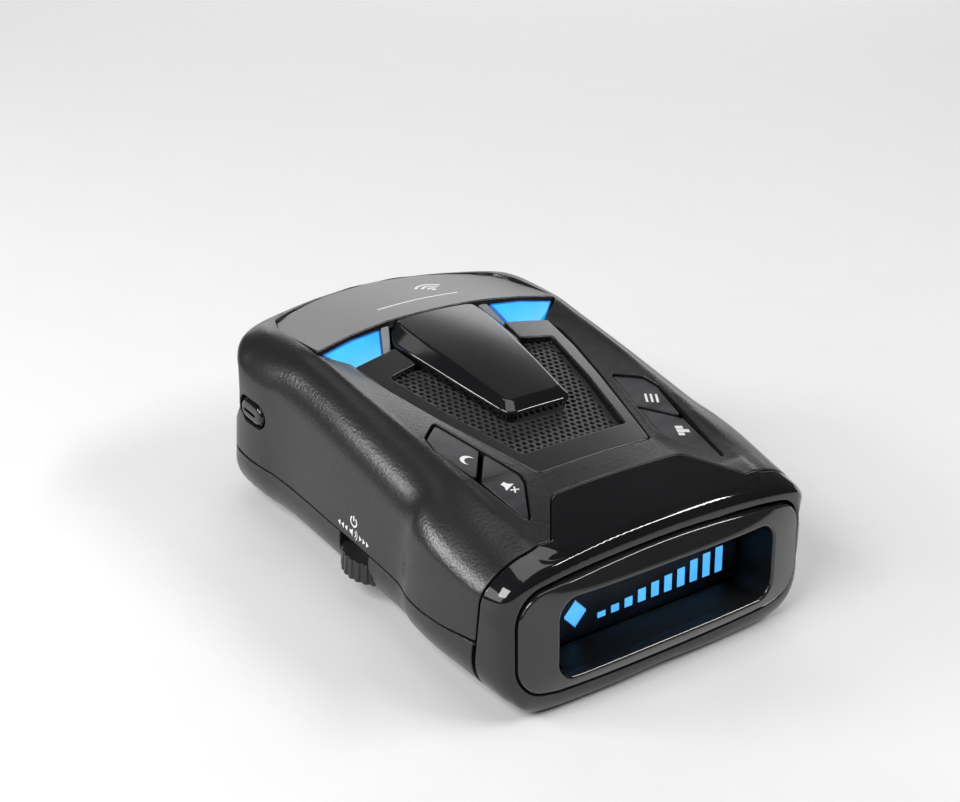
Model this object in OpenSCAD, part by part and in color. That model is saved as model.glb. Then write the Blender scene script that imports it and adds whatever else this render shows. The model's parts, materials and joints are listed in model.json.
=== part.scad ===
// Windscreen radar detector: a two-part casing with a front display, keys on the top,
// a side volume wheel, and the aerial, speaker and boards inside.
// Built from the front: x across, y from the display towards the road, z up.

/* [Casing] */
// Overall length, from the front panel to the road end
body_l = 97.8; // [97:0.1:98]
// Wall thickness of the two casing halves
wall = 2; // [1.6:0.1:2.4]
// Height of the seam between the casing halves, behind the front corners
seam_z = 11.6; // [11.2:0.1:11.8]
// How far the seam rises towards the display
seam_rise = 2.1; // [1.5:0.1:2.4]
// Gap shown at each seam on the top
reveal = 0.15; // [0.1:0.05:0.25]

/* [Display] */
// Width of the display opening
window_w = 48.8; // [44:0.2:50]
// Height of the display opening
window_h = 14.8; // [13:0.2:15.4]
// How far the glass sits behind the front panel
window_d = 6; // [4:0.5:6]

/* [Speaker grille] */
// Diameter of each hole in the grille
grille_hole = 1; // [0.7:0.05:1.1]
// Distance between neighbouring holes
grille_pitch = 1.6; // [1.5:0.1:2.2]
// Diameter of the loudspeaker
speaker_d = 28; // [24:1:28]

/* [Keys] */
// How far each top key travels
key_travel = 0.6; // [0.4:0.1:0.8]
// Gap round each key
key_gap = 0.22; // [0.2:0.02:0.3]

/* [Volume wheel] */
// Outside diameter of the wheel
wheel_d = 14; // [13:0.5:14]
// Thickness of the wheel
wheel_t = 4; // [3.6:0.1:4]
// Number of ribs round its edge
wheel_ribs = 26; // [20:1:30]

/* [Interfaces] */
// Bore of the power socket
jack_d = 3.6; // [3.5:0.1:3.8]
// Width of the slot for the windscreen bracket
slot_w = 22; // [20:0.5:23]
// Height of the slot for the windscreen bracket
slot_h = 4.6; // [4.4:0.1:4.8]
// How far the bracket release button travels
release_travel = 2; // [1.5:0.1:2]

/* [Hidden] */
$fn = 48;
eps = 0.01;

function clamp(v, lo, hi) = min(max(v, lo), hi);
function mirror_x(points) = [for (i = [len(points) - 1:-1:0]) [-points[i][0], points[i][1]]];

// ---- Outer surface of the casing ------------------------------------------------------
// One row for each station round the right half: waist x, y; top crease x, y, z; how far the
// rounded shoulder drops from the crease to the straight side wall; and the width and height
// of the rounding at the bottom edge.
HALF = [
    [0, -2.4, 0, -0.9, 28.5, 2.4, 3, 3],
    [14, -2.4, 13, -0.9, 28.2, 2.4, 3, 3],
    [29, -2.2, 22.5, -0.5, 27.4, 3, 5.5, 5.2],
    [33.7, -0.6, 25.2, 1.8, 27.6, 5, 10, 9],
    [35.4, 3.8, 25.8, 5.6, 28.2, 6.5, 12, 10.5],
    [36.2, 9, 26, 10.5, 29, 7.5, 13.5, 11],
    [36.8, 18, 26.4, 18, 30.6, 8, 13.5, 11],
    [36.5, 24, 26.8, 24, 31.6, 8.5, 13, 11],
    [35.3, 29, 27, 29, 32.3, 9, 12, 10.5],
    [35.1, 38, 27.3, 38, 33.4, 9, 11.5, 10],
    [35.1, 50, 27.6, 50, 34.8, 9, 11.5, 10],
    [35.1, 63, 28, 63, 36, 9, 11.5, 10],
    [35.5, 70, 28.2, 69.5, 36.5, 9, 12, 10],
    [36.3, 75.5, 28.1, 75.5, 36.3, 9, 12, 10],
    [36.5, 80.5, 28, 80, 36, 8.5, 11.5, 10],
    [35.6, 85, 27.6, 83.6, 35.6, 6, 10, 9],
    [32.2, 88.8, 26.4, 86.8, 35.2, 3.2, 7, 7],
    [25.4, 91, 22, 89, 35.3, 2.2, 4.5, 4.5],
    [13, 93.5, 12, 92, 35.5, 2, 3, 3],
    [0, 94.5, 0, 93.2, 35.6, 2, 3, 3]
];
H_LAST = len(HALF) - 1;
function flip(row) = [-row[0], row[1], -row[2], row[3], row[4], row[5], row[6], row[7]];
STATIONS = concat(HALF, [for (i = [H_LAST - 1:-1:1]) flip(HALF[i])]);

// Catmull-Rom curve through a closed list of rows, with n steps between rows.
function curve_at(a, b, c, d, t) =
    0.5 * (2 * b + (c - a) * t + (2 * a - 5 * b + 4 * c - d) * t * t
           + (3 * b - a - 3 * c + d) * t * t * t);
function closed_curve(rows, n) = let (m = len(rows)) [
    for (i = [0:m - 1], k = [0:n - 1])
        curve_at(rows[(i + m - 1) % m], rows[i], rows[(i + 1) % m], rows[(i + 2) % m], k / n)
];
OUTLINE = closed_curve(STATIONS, 2);
O_N = len(OUTLINE);

// The front of the casing leans back as it rises.
lean_k = 0.14;
function lean(y, z) = lean_k * (z - 3) * pow(clamp((9 - y) / 11.4, 0, 1), 1.3);

// Height of the top: a crowned centre, with side banks rising to the crease.
plate_slope = 0.105;
plate_y = 20.8;
plate_z = 31.2;
plate_crown = 0.002;
function plate_top(x, y) = plate_z + plate_slope * (y - plate_y) - plate_crown * x * x;
CREASE = [[-2, 25, 28], [10, 26, 29], [24, 26.8, 31.6], [38, 27.3, 33.4],
          [63, 28, 36], [70, 28.2, 36.5], [80, 28, 36], [94, 26, 35.2]];
PLATE_EDGE = [[0, 20], [10, 16], [21, 13], [62, 22.7], [94, 24]];
crease_x_at = [for (c = CREASE) [c[0], c[1]]];
crease_z_at = [for (c = CREASE) [c[0], c[2]]];
function top_z(x, y) = let (
        edge = lookup(y, PLATE_EDGE),
        cx = lookup(y, crease_x_at),
        share = clamp((abs(x) - edge) / (cx - edge), 0, 1)
    ) plate_top(min(abs(x), edge), y) * (1 - share) + lookup(y, crease_z_at) * share;

// Rings of the skin, from the middle of the base up the side and in to the middle of the top.
// off is how far the skin lies inside the outer surface.
BASE_ANGLES = [90, 74, 58, 43, 28, 14, 0];
BASE_RINGS = len(BASE_ANGLES) + 3;
SHOULDER = [[0, 0], [0.05, 0.2], [0.2, 0.47], [0.42, 0.71], [0.7, 0.9], [1, 1]];
CAP_RINGS = [0.8, 0.55, 0.28];
centre_y = 46;
function inward(p, off) = let (
        d = [p[0], p[1] - clamp(p[1], 14, 80)], l = max(norm(d), 0.001)
    ) [p[0] - d[0] / l * off, p[1] - d[1] / l * off];
function base_ring(o, k, off) = let (
        a = max(o[6] - off, 0.6), b = max(o[7] - off, 0.6),
        t = k == 0 ? 90 : (k > len(BASE_ANGLES) ? 0 : BASE_ANGLES[k - 1]),
        s = k == 0 ? 0.55 : 1,
        p = inward([o[0], o[1]], off + a * (1 - cos(t))),
        z = k > len(BASE_ANGLES) ? (k == BASE_RINGS - 1 ? 17 : 13) : off + b * (1 - sin(t)),
        x = p[0] * s, y = centre_y + (p[1] - centre_y) * s
    ) [x, y + lean(y, z), z];
function shoulder_ring(o, f, g, off) = let (
        x = o[0] + (o[2] - o[0]) * f, y = o[1] + (o[3] - o[1]) * f,
        p = inward([x, y], off), z = o[4] - o[5] * (1 - g) - off * (0.2 + 0.8 * g)
    ) [p[0], p[1] + lean(p[1], z), z];
function cap_ring(o, s, off) = let (
        p = inward([o[2], o[3]], off), x = p[0] * s, y = centre_y + (p[1] - centre_y) * s,
        z = top_z(x, y) - off
    ) [x, y + lean(y, z), z];
function skin_points(off) = concat(
    [[0, centre_y, off]],
    [for (k = [0:BASE_RINGS - 1], o = OUTLINE) base_ring(o, k, off)],
    [for (r = SHOULDER, o = OUTLINE) shoulder_ring(o, r[0], r[1], off)],
    [for (s = CAP_RINGS, o = OUTLINE) cap_ring(o, s, off)],
    [[0, centre_y, top_z(0, centre_y) - off]]
);
RINGS = BASE_RINGS + len(SHOULDER) + len(CAP_RINGS);
function ring_faces(n, rings) = concat(
    [for (j = [0:n - 1]) [0, 1 + j, 1 + (j + 1) % n]],
    [for (k = [0:rings - 2], j = [0:n - 1]) let (
            a = 1 + k * n + j, b = 1 + k * n + (j + 1) % n
        ) each [[a, a + n, b], [b, a + n, b + n]]],
    [for (j = [0:n - 1]) let (q = 1 + (rings - 1) * n) [q + j, 1 + rings * n, q + (j + 1) % n]]
);
module skin(off = 0) polyhedron(skin_points(off), ring_faces(O_N, RINGS), convexity = 6);
module casing_wall() difference() { skin(0); skin(wall); }

// A prism along z over a flat outline.
module prism(lo, hi) translate([0, 0, lo]) linear_extrude(hi - lo, convexity = 6) children();
// A box given by its two corners.
module box(a, b) translate(a) cube(b - a);
module both() { children(); mirror([1, 0, 0]) children(); }

// A sheet with a crowned top that slopes along y: an exact piece of a large tube.
module crown(z, y, slope, radius, t) translate([0, y, z]) rotate([atan(slope), 0, 0])
    translate([0, 0, -radius]) rotate([-90, 0, 0]) difference() {
        cylinder(r = radius, h = 200, center = true, $fn = 720);
        cylinder(r = radius - t, h = 201, center = true, $fn = 720);
    }
plate_r = 1 / (2 * plate_crown);
deck_r = 185;
deck_y = 71.5;
deck_z = 38.6;
deck_slope = -0.143;

// ---- Outlines seen from above ---------------------------------------------------------
bezel_y = 5.6;
hood_back = 15;
HOOD = concat([[21.7, 5.9], [15.2, 14.2], [13.8, hood_back]], mirror_x([[21.7, 5.9], [15.2, 14.2], [13.8, hood_back]]));
module hood_shape(grow = 0) offset(delta = grow) polygon(concat(HOOD, [[-21.7, 2], [21.7, 2]]));
PLATE_SIDE = [[12.7, 20.8], [15.6, 31], [18.7, 42], [21.4, 53], [22.6, 59.5], [22.5, 62.6], [20.8, 65], [18, 65.7]];
module plate_shape(grow = 0) offset(delta = grow) polygon(concat(PLATE_SIDE, mirror_x(PLATE_SIDE)));
OPENING_SIDE = [[11.7, 26.6], [16.2, 43], [19.6, 57.2], [19.2, 59.2], [13.3, 59.6], [13.3, 67]];
module plate_opening(grow = 0) offset(delta = grow) polygon(concat(OPENING_SIDE, mirror_x(OPENING_SIDE)));
GRILLE_SIDE = [[11.6, 26.7], [16.1, 43], [19.5, 57.2], [19.1, 59.1]];
DECK_SIDE = [[10.3, 71.2], [20, 69.9], [28, 68.2], [27.9, 76], [27.5, 83.6], [26.2, 86.7], [21.9, 88.9], [12, 91.9]];
module deck_shape(grow = 0) offset(delta = grow)
    polygon(concat(DECK_SIDE, [[0, 93]], mirror_x(DECK_SIDE)));
LENS = [[10.2, 71.6], [20, 70.3], [27.4, 68.9], [27.8, 67.9], [22.7, 64.6], [20.8, 65], [12.9, 65.2]];
module lens_shape(grow = 0) offset(delta = grow) polygon(LENS);
KEY_BACK = [[20.4, 41.4], [17.6, 31], [23.6, 23.6], [26, 33.6], [25.3, 37.2]];
KEY_FRONT = [[17.5, 30.7], [15.6, 22.4], [16.2, 19.9], [22.3, 10.2], [23.5, 23.3]];
KEY_PAIR = [[20.4, 41.4], [15.6, 22.4], [16.2, 19.9], [22.3, 10.2], [26, 33.6], [25.3, 37.2]];
module key_pair_shape(grow = 0) offset(delta = grow) polygon(KEY_PAIR);

// ---- Where things are -----------------------------------------------------------------
module place() translate([0, body_l / 2 - 94.5, 0]) children();
wheel_at = [-29.3, 43, 7];
release_at = [-36, 77.8, 22];
jack_at = [34.8, 58, 8];
screw_at = [[28.4, 31.5, 30.1], [28.4, 81.5, 33.6]];
board_screw_at = [12, 19];
led_at = [20.5, 69];
key_stem_back = [21.9, 33.4];
key_stem_front = [19.4, 20.4];
board_lo = 12.2;
board_hi = 13.8;
switch_h = 3.5;
black = [0.06, 0.06, 0.065];
gloss = [0.02, 0.02, 0.022];
steel = [0.7, 0.7, 0.72];
green = [0.05, 0.25, 0.12];

// ---- Casing ---------------------------------------------------------------------------
SEAM = [[-10, 1.1], [6, 1], [9, 0.75], [12, 0.45], [15, 0.22], [19, 0.07], [24, 0], [120, 0]];
module below_seam(depth = 20) rotate([90, 0, 90]) linear_extrude(100, center = true) polygon(concat(
    [for (s = SEAM) [s[0], seam_z + seam_rise * s[1]]], [[120, seam_z - depth], [-10, seam_z - depth]]));
module above_seam() rotate([90, 0, 90]) linear_extrude(100, center = true) polygon(concat(
    [for (s = SEAM) [s[0], seam_z + seam_rise * s[1]]], [[120, 60], [-10, 60]]));
module pill(len, wid, a, b) translate([a, release_at[1], release_at[2]]) rotate([0, 90, 0]) {
    translate([-wid / 2, -(len - wid) / 2, 0]) cube([wid, len - wid, b - a]);
    translate([0, (len - wid) / 2, 0]) cylinder(d = wid, h = b - a);
    translate([0, -(len - wid) / 2, 0]) cylinder(d = wid, h = b - a);
}
module upper_shell() place() color(black) {
    difference() {
        casing_wall();
        below_seam();
        box([-50, -10, -5], [50, bezel_y + reveal, 60]);
        prism(20, 60) hood_shape(reveal);
        prism(24, 60) plate_shape(reveal);
        prism(25, 60) deck_shape(reveal);
        prism(25, 60) polygon([[13.5, 60], [13.5, 71.6], [-13.5, 71.6], [-13.5, 60]]);
        both() prism(20, 60) lens_shape(reveal);
        both() prism(18, 60) key_pair_shape(reveal);
        box([-20.2, 84, 13.8], [20.2, 96, 29.2]);
        pill(8, 4.4, -40, -30);
    }
    both() for (p = screw_at) translate([p[0], p[1], board_hi + 0.2]) difference() {
        cylinder(d = 4.6, h = p[2] - board_hi - 0.2);
        translate([0, 0, -1]) cylinder(d = 2.3, h = 9);
    }
}
module lower_shell() place() color(black) {
    difference() {
        union() {
            difference() {
                casing_wall();
                above_seam();
                box([-50, -10, -5], [50, bezel_y + reveal, 60]);
                box([-slot_w / 2, 80, 5.2], [slot_w / 2, 100, 5.2 + slot_h]);
                translate([wheel_at[0], wheel_at[1], 4.3]) cylinder(d = wheel_d + 1, h = 9);
            }
            both() for (p = screw_at) translate([p[0], p[1], 0]) {
                translate([0, 0, 3.4]) cylinder(d = 6.4, h = board_lo - 3.4);
                intersection() {
                    translate([0, 0, 1.9]) cylinder(d = 6.4, h = 2);
                    box([-8, -8, 0], [0, 2, 9]);
                }
            }
            both() translate([board_screw_at[0], board_screw_at[1], 1]) cylinder(d = 4.4, h = board_lo - 1);
            box([20.2, 72.5, 1], [22, 78.5, 10]);
        }
        translate(jack_at) rotate([0, 90, 0]) cylinder(d = 6, h = 9.4, center = true);
        both() for (p = screw_at) translate([p[0], p[1], 0]) {
            translate([0, 0, -1]) cylinder(d = 4.8, h = 5.25);
            cylinder(d = 2.4, h = 20);
        }
        both() translate([board_screw_at[0], board_screw_at[1], 5]) cylinder(d = 2.06, h = 20);
        box([-14, 30, -1], [14, 56, 0.3]);
    }
}

// ---- Top: centre plate, grille, rear deck and hump --------------------------------------
module centre_plate() place() color(black) intersection() {
    crown(plate_z, plate_y, plate_slope, plate_r, 1.6);
    prism(20, 50) difference() {
        plate_shape(0);
        plate_opening(0);
    }
}
GRILLE_NEAR = 27.5;
GRILLE_FAR = 56.4;
function in_grille(x, y) =
    y > GRILLE_NEAR && y < GRILLE_FAR
    && abs(x) < 11.6 + (y - 26.7) * 0.262 - 0.9
    && (y < 35.6 || abs(x) > 8 + (y - 36.4) * 0.197);
module speaker_grille() place() color([0.3, 0.3, 0.31])
    translate([0, plate_y, plate_z - 1.9]) rotate([atan(plate_slope), 0, 0])
    translate([0, 0, -1]) linear_extrude(1) difference() {
        translate([0, -plate_y]) polygon(concat(GRILLE_SIDE, mirror_x(GRILLE_SIDE)));
        for (j = [0:40], i = [-14:14]) let (
            x = (i + (j % 2) / 2) * grille_pitch,
            y = j * grille_pitch * 0.866 + 27.6
        ) if (in_grille(x, y)) translate([x, y - plate_y]) circle(d = grille_hole, $fn = 16);
    }
module hump_points(points) hull() for (p = points) both() translate(p) cube(0.02, center = true);
HUMP_OUT = [
    [6.9, 36.7, 31], [12.9, 66, 34.2], [12.9, 71.4, 34.81], [7.1, 36.5, 34.7], [13.1, 66.2, 35.5],
    [12.6, 71.4, 36.4], [5.8, 38.8, 35.9], [7.6, 50, 36.9], [9.5, 63, 37.8], [10, 71.4, 38.35],
    [0, 38.4, 36.1], [0, 50, 37.2], [0, 71.4, 38.6], [0, 36.3, 34.6]
];
HUMP_IN = [
    [5.4, 38.2, 29], [11.3, 66, 29], [11.3, 73, 29], [5.5, 38.1, 33.9], [11.5, 66.2, 34.6],
    [11, 73, 35], [4.6, 40, 34.5], [6.2, 50, 35.4], [8, 63, 36.3], [8.6, 73, 36.7]
];
module deck_cover() place() color(gloss) {
    difference() {
        hump_points(HUMP_OUT);
        hump_points(HUMP_IN);
    }
    difference() {
        intersection() {
            crown(38.6, 71.5, -0.13, deck_r, 1.6);
            prism(25, 50) deck_shape(0);
        }
        both() translate([screw_at[1][0], screw_at[1][1], 30]) cylinder(d = 5, h = screw_at[1][2] - 29.9);
    }
}

// ---- Alert lights --------------------------------------------------------------------
module fan(top, t) {
    n = len(top);
    c = [for (k = [0:2]) [for (p = top) p[k]] * [for (p = top) 1 / n]];
    polyhedron(
        concat([c], top, [c - [0, 0, t]], [for (p = top) p - [0, 0, t]]),
        concat(
            [for (i = [0:n - 1]) [0, 1 + (i + 1) % n, 1 + i]],
            [for (i = [0:n - 1]) [n + 1, n + 2 + i, n + 2 + (i + 1) % n]],
            [for (i = [0:n - 1]) [1 + i, 1 + (i + 1) % n, n + 2 + (i + 1) % n]],
            [for (i = [0:n - 1]) [1 + i, n + 2 + (i + 1) % n, n + 2 + i]]
        )
    );
}
module alert_lens() color([0.1, 0.5, 1]) difference() {
    lens_block();
    hump_points(HUMP_OUT);
    prism(25, 50) deck_shape(0.02);
}
module lens_block() {
    fan([[22.5, 65.8, 33.6], [27.3, 68, 36.2], [20, 69.5, 36.9], [11.6, 70.7, 37.1], [12.9, 66.6, 34.4]], 1.8);
    translate([led_at[0], led_at[1], 0]) box([-2, -1.3, 16.2], [2, 1, 34.9]);
}
module alert_lens_right() place() alert_lens();
module alert_lens_left() place() mirror([1, 0, 0]) alert_lens();
module alert_led() color([0.9, 0.9, 0.9]) translate([led_at[0], led_at[1], board_hi]) {
    box([-1.75, -1.4, 0], [1.75, 1.4, 1.2]);
    translate([0, 0, 1.2]) cylinder(d = 2, h = 0.6);
}
module alert_led_right() place() alert_led();
module alert_led_left() place() mirror([1, 0, 0]) alert_led();

// ---- Keys ----------------------------------------------------------------------------
function toward(p, c, d) = let (v = c - p, l = norm(v)) p + v / l * d;
function middle(points) = [for (k = [0:1]) [for (p = points) p[k]] * [for (p = points) 1 / len(points)]];
function with_halves(points) = let (n = len(points)) [
    for (i = [0:n - 1], h = [0, 0.5]) points[i] * (1 - h) + points[(i + 1) % n] * h
];
module key_cap(points, stem) color([0.13, 0.13, 0.14]) {
    c = middle(points);
    fan([for (p = with_halves([for (q = points) toward(q, c, key_gap * 1.8)])) [p[0], p[1], top_z(p[0], p[1]) - 0.35]], 1.5);
    translate([stem[0], stem[1], 0]) {
        top = top_z(stem[0], stem[1]) - 1;
        translate([0, 0, board_hi + switch_h + key_travel + 0.05])
            cylinder(d = 2.6, h = top - board_hi - switch_h - key_travel - 0.05);
    }
}
module tact_switch(at) translate([at[0], at[1], board_hi]) {
    color([0.1, 0.1, 0.1]) box([-3, -3, 0], [3, 3, 3]);
    color(steel) cylinder(d = 3.4, h = switch_h);
}
module menu_key() place() key_cap(KEY_BACK, key_stem_back);
module city_key() place() key_cap(KEY_FRONT, key_stem_front);
module dark_key() place() mirror([1, 0, 0]) key_cap(KEY_BACK, key_stem_back);
module quiet_key() place() mirror([1, 0, 0]) key_cap(KEY_FRONT, key_stem_front);
module menu_switch() place() tact_switch(key_stem_back);
module city_switch() place() tact_switch(key_stem_front);
module dark_switch() place() mirror([1, 0, 0]) tact_switch(key_stem_back);
module quiet_switch() place() mirror([1, 0, 0]) tact_switch(key_stem_front);

// ---- Front: bezel, panel and display ---------------------------------------------------
front_lean = 8;
module front_frame() translate([0, -2.2, 3]) rotate([-front_lean, 0, 0]) children();
// Extrudes a shape drawn in x and height from depth a to depth b behind the front face.
module behind(a, b) translate([0, b, 0]) rotate([90, 0, 0]) linear_extrude(b - a) children();
module panel_shape(r = 5.8) hull() {
    both() translate([31.9 - r, 2 + r]) circle(r, $fn = 40);
    both() translate([31.9 - r, 20.9 - r]) circle(r, $fn = 40);
    polygon([for (x = [-24:4:24]) [x, 22.6 - x * x / 420]]);
    polygon([for (x = [-24:4:24]) [x, 0.9 + x * x / 900]]);
}
window_lo = 3.6;
module window_shape(grow = 0) hull() both() for (v = [window_lo, window_lo + window_h])
    translate([window_w / 2 - 3.5, v + (v > 10 ? -3.5 : 3.5)]) circle(3.5 + grow, $fn = 40);
module front_bezel() place() color(gloss) difference() {
    intersection() {
        casing_wall();
        union() {
            box([-50, -10, -1], [50, bezel_y, 60]);
            prism(22, 60) hood_shape(0);
        }
    }
    front_frame() behind(-6, 4) offset(delta = 0.1) panel_shape();
}
// The front panel bulges forward between its edges.
bulge = 2.37;
function panel_w(x, v) = 0.1 - bulge * (1 - pow(x / 32, 4)) * (1 - pow((v - 11.8) / 11.6, 4));
module bulged_block(x_n = 16, v_n = 8) {
    xs = [for (i = [0:x_n]) -32 + 64 * i / x_n];
    vs = [for (i = [0:v_n]) 0.2 + 23.2 * i / v_n];
    m = v_n + 1;
    front = [for (x = xs, v = vs) [x, panel_w(x, v), v]];
    back = [for (x = xs, v = vs) [x, 2.2, v]];
    q = len(front);
    polyhedron(concat(front, back), concat(
        [for (i = [0:x_n - 1], k = [0:v_n - 1]) let (a = i * m + k)
            each [[a, a + 1, a + m + 1], [a, a + m + 1, a + m]]],
        [for (i = [0:x_n - 1], k = [0:v_n - 1]) let (a = q + i * m + k)
            each [[a, a + m + 1, a + 1], [a, a + m, a + m + 1]]],
        [for (i = [0:x_n - 1]) let (a = i * m) each [[a, a + m, q + a + m], [a, q + a + m, q + a]]],
        [for (i = [0:x_n - 1]) let (a = i * m + v_n) each [[a, q + a, q + a + m], [a, q + a + m, a + m]]],
        [for (k = [0:v_n - 1]) each [[k, q + k, q + k + 1], [k, q + k + 1, k + 1]]],
        [for (k = [0:v_n - 1]) let (a = x_n * m + k) each [[a, a + 1, q + a + 1], [a, q + a + 1, q + a]]]
    ));
}
module front_panel() place() color([0.2, 0.2, 0.2]) front_frame() {
    difference() {
        intersection() {
            bulged_block();
            behind(-4, 2) panel_shape();
        }
        behind(-5, 5) window_shape();
        box([-23, 1, 1], [23, 3, 2]);
    }
    behind(1.9, window_d + 1) difference() {
        window_shape(1);
        window_shape();
    }
    hull() {
        box([-21.5, 1, 3.2], [21.5, 1.1, 3.7]);
        box([-21.5, window_d + 0.9, 3.2], [21.5, window_d + 1, 4.5]);
    }
}
module display_window() place() color([0.1, 0.12, 0.16, 0.6]) front_frame()
    box([-25.3, window_d + 1.02, 2.8], [25.3, window_d + 2, 19.4]);
module display_panel() place() color([0.02, 0.03, 0.08]) front_frame()
    box([-25, window_d + 2.02, 4], [25, window_d + 3.5, 19.4]);
module display_board() place() color(green) front_frame()
    box([-27.5, window_d + 3.52, 4], [27.5, window_d + 4.9, 21.6]);
CABLE = [[11.5, 20.6], [12.5, 19.6], [13.1, 18.3], [13.5, 17], [14.2, 15.6], [15.3, 14.9], [16.2, 14.8]];
module display_cable() place() color([0.75, 0.45, 0.15]) translate([7, 0, 0]) rotate([90, 0, -90])
    linear_extrude(14) mirror([1, 0]) polygon(concat(
        [for (p = CABLE) p + [0.12, 0.1]], [for (i = [len(CABLE) - 1:-1:0]) CABLE[i] - [0.12, 0.1]]));
module board_connector() place() color([0.85, 0.83, 0.78])
    box([-8, 16.4, board_hi], [8, 20, board_hi + 1.9]);

// ---- Volume wheel ----------------------------------------------------------------------
module volume_wheel() place() color([0.09, 0.09, 0.09]) translate([wheel_at[0], wheel_at[1], wheel_at[2] - wheel_t / 2])
    difference() {
        cylinder(d = wheel_d, h = wheel_t);
        translate([0, 0, -1]) cylinder(d = 2.1, h = wheel_t + 2);
        for (i = [0:wheel_ribs - 1]) rotate(i * 360 / wheel_ribs)
            translate([wheel_d / 2 + 0.25, 0, -1]) cylinder(d = 1.1, h = wheel_t + 2, $fn = 16);
    }
module wheel_axle() place() color(steel) translate([wheel_at[0], wheel_at[1], 4.35]) {
    cylinder(d = 3.4, h = 0.45);
    cylinder(d = 2, h = 6.65);
}
module wheel_carriage() place() color([0.85, 0.83, 0.78]) difference() {
    union() {
        box([-32, 40, 10], [-20.6, 46, 11]);
        translate([-20.7, 43, 10.5]) rotate([0, 90, 0]) cylinder(d = 1, h = 1.7);
    }
    translate([wheel_at[0], wheel_at[1], 0]) cylinder(d = 2.02, h = 20);
}
module wheel_bracket() place() color([0.16, 0.16, 0.17]) difference() {
    box([-32, 38.4, 9.4], [-20.8, 47.6, board_lo]);
    box([-40, 39.85, 9.85], [-10, 46.15, 11.15]);
    box([-40, 41, 8], [-10, 45, 11]);
}
module power_switch() place() color([0.1, 0.1, 0.1]) box([-18.1, 40, 8], [-13.6, 46, board_lo]);

// ---- Windscreen bracket socket, latch and release --------------------------------------
module bracket_socket() place() color([0.16, 0.16, 0.17]) difference() {
    box([-12.6, 78, 2], [12.6, 91, 11.3]);
    box([-slot_w / 2, 79, 5.2], [slot_w / 2, 100, 5.2 + slot_h]);
    box([slot_w / 2 - 0.5, 79.6, 5.4], [20, 83.4, 9.4]);
}
module release_button() place() color(gloss) {
    pill(7.5, 3.9, -35.9, -33.3);
    box([-33.4, 74.2, 20.6], [-31.9, 78.9, 23.4]);
}
module bracket_latch() place() color([0.3, 0.3, 0.31]) {
    box([-31.9, 73.6, 5.6], [-30.3, 77.4, 24]);
    box([-30.4, 73.6, 5.6], [13.6, 77.4, 9.2]);
    box([12.9, 77.3, 5.6], [14.6, 84, 9.2]);
    box([9.6, 80, 5.7], [13, 83, 9.1]);
}
function helix(turns, r, a, b, n) = [
    for (i = [0:turns * n]) let (t = i / (turns * n), q = i * 360 / n) [a + (b - a) * t, r * cos(q), r * sin(q)]
];
module coil(turns, r, wire, a, b, n = 14, m = 6) {
    path = helix(turns, r, a, b, n);
    last = len(path) - 1;
    ring = [for (i = [0:last], k = [0:m - 1]) let (
        q = i * 360 / n, f = k * 360 / m, out = [0, cos(q), sin(q)]
    ) path[i] + wire / 2 * (cos(f) * out + sin(f) * [1, 0, 0])];
    polyhedron(ring, concat(
        [[for (k = [m - 1:-1:0]) k]],
        [for (i = [0:last - 1], k = [0:m - 1]) let (a0 = i * m + k, a1 = i * m + (k + 1) % m)
            each [[a0, a1, a1 + m], [a0, a1 + m, a0 + m]]],
        [[for (k = [0:m - 1]) last * m + k]]
    ));
}
module release_spring() place() color(steel) translate([0, 75.5, 7.4]) coil(7, 1.5, 0.45, 13.9, 19.9);

// ---- Electronics -----------------------------------------------------------------------
BOARD = [
    [-30.8, 15.2], [30.8, 15.2], [30.8, 83], [28, 86], [20, 88.4], [-20, 88.4], [-28, 86], [-30.8, 83],
    [-30.8, 78.6], [-27.6, 78.6], [-27.6, 72.4], [-30.8, 72.4]
];
module main_board() place() color(green) translate([0, 0, board_lo]) linear_extrude(board_hi - board_lo)
    difference() {
        polygon(BOARD);
        both() for (p = screw_at) translate([p[0], p[1]]) circle(d = 2.6);
        both() translate(board_screw_at) circle(d = 2.3);
    }
module horn_aerial() place() color([0.72, 0.72, 0.74]) difference() {
    union() {
        box([-10, 54, board_hi], [10, 68, 29]);
        hull() {
            box([-9, 67.9, board_hi + 1], [9, 68, 28]);
            box([-13, 87, board_hi], [13, 88, 31]);
        }
    }
    hull() {
        box([-7.8, 66, board_hi + 4.5], [7.8, 66.1, 25.5]);
        box([-12, 88.1, board_hi + 1], [12, 88.2, 30]);
    }
    for (x = [-7.5, 7.5]) translate([x, 58, 22]) cylinder(d = 2.06, h = 10);
}
module horn_cover() place() color([0.85, 0.7, 0.35]) difference() {
    box([-10, 54, 29], [10, 67, 30.2]);
    for (x = [-7.5, 7.5]) translate([x, 58, 20]) cylinder(d = 2.3, h = 20);
}
module screw(head, shank, length) {
    difference() {
        cylinder(d = head, h = 1.3);
        translate([0, 0, -0.1]) box([-head / 3, -0.25, 0], [head / 3, 0.25, 0.7]);
        translate([0, 0, -0.1]) box([-0.25, -head / 3, 0], [0.25, head / 3, 0.7]);
    }
    translate([0, 0, 1.3]) cylinder(d = shank, h = length);
}
module casing_screws() place() color(steel)
    both() for (p = screw_at) translate([p[0], p[1], 2.93]) screw(4.2, 2.2, 16.5);
module board_screws() place() color(steel)
    both() translate([board_screw_at[0], board_screw_at[1], board_hi + 1.3]) mirror([0, 0, 1]) screw(3.6, 2, 7);
module horn_screws() place() color(steel)
    for (x = [-7.5, 7.5]) translate([x, 58, 31.5]) mirror([0, 0, 1]) screw(3.6, 2, 6);
module shield_can() place() color(steel) difference() {
    box([-28, 50, board_hi], [-14, 66, board_hi + 3.2]);
    box([-27.7, 50.3, board_hi - 1], [-14.3, 65.7, board_hi + 2.9]);
}
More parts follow.
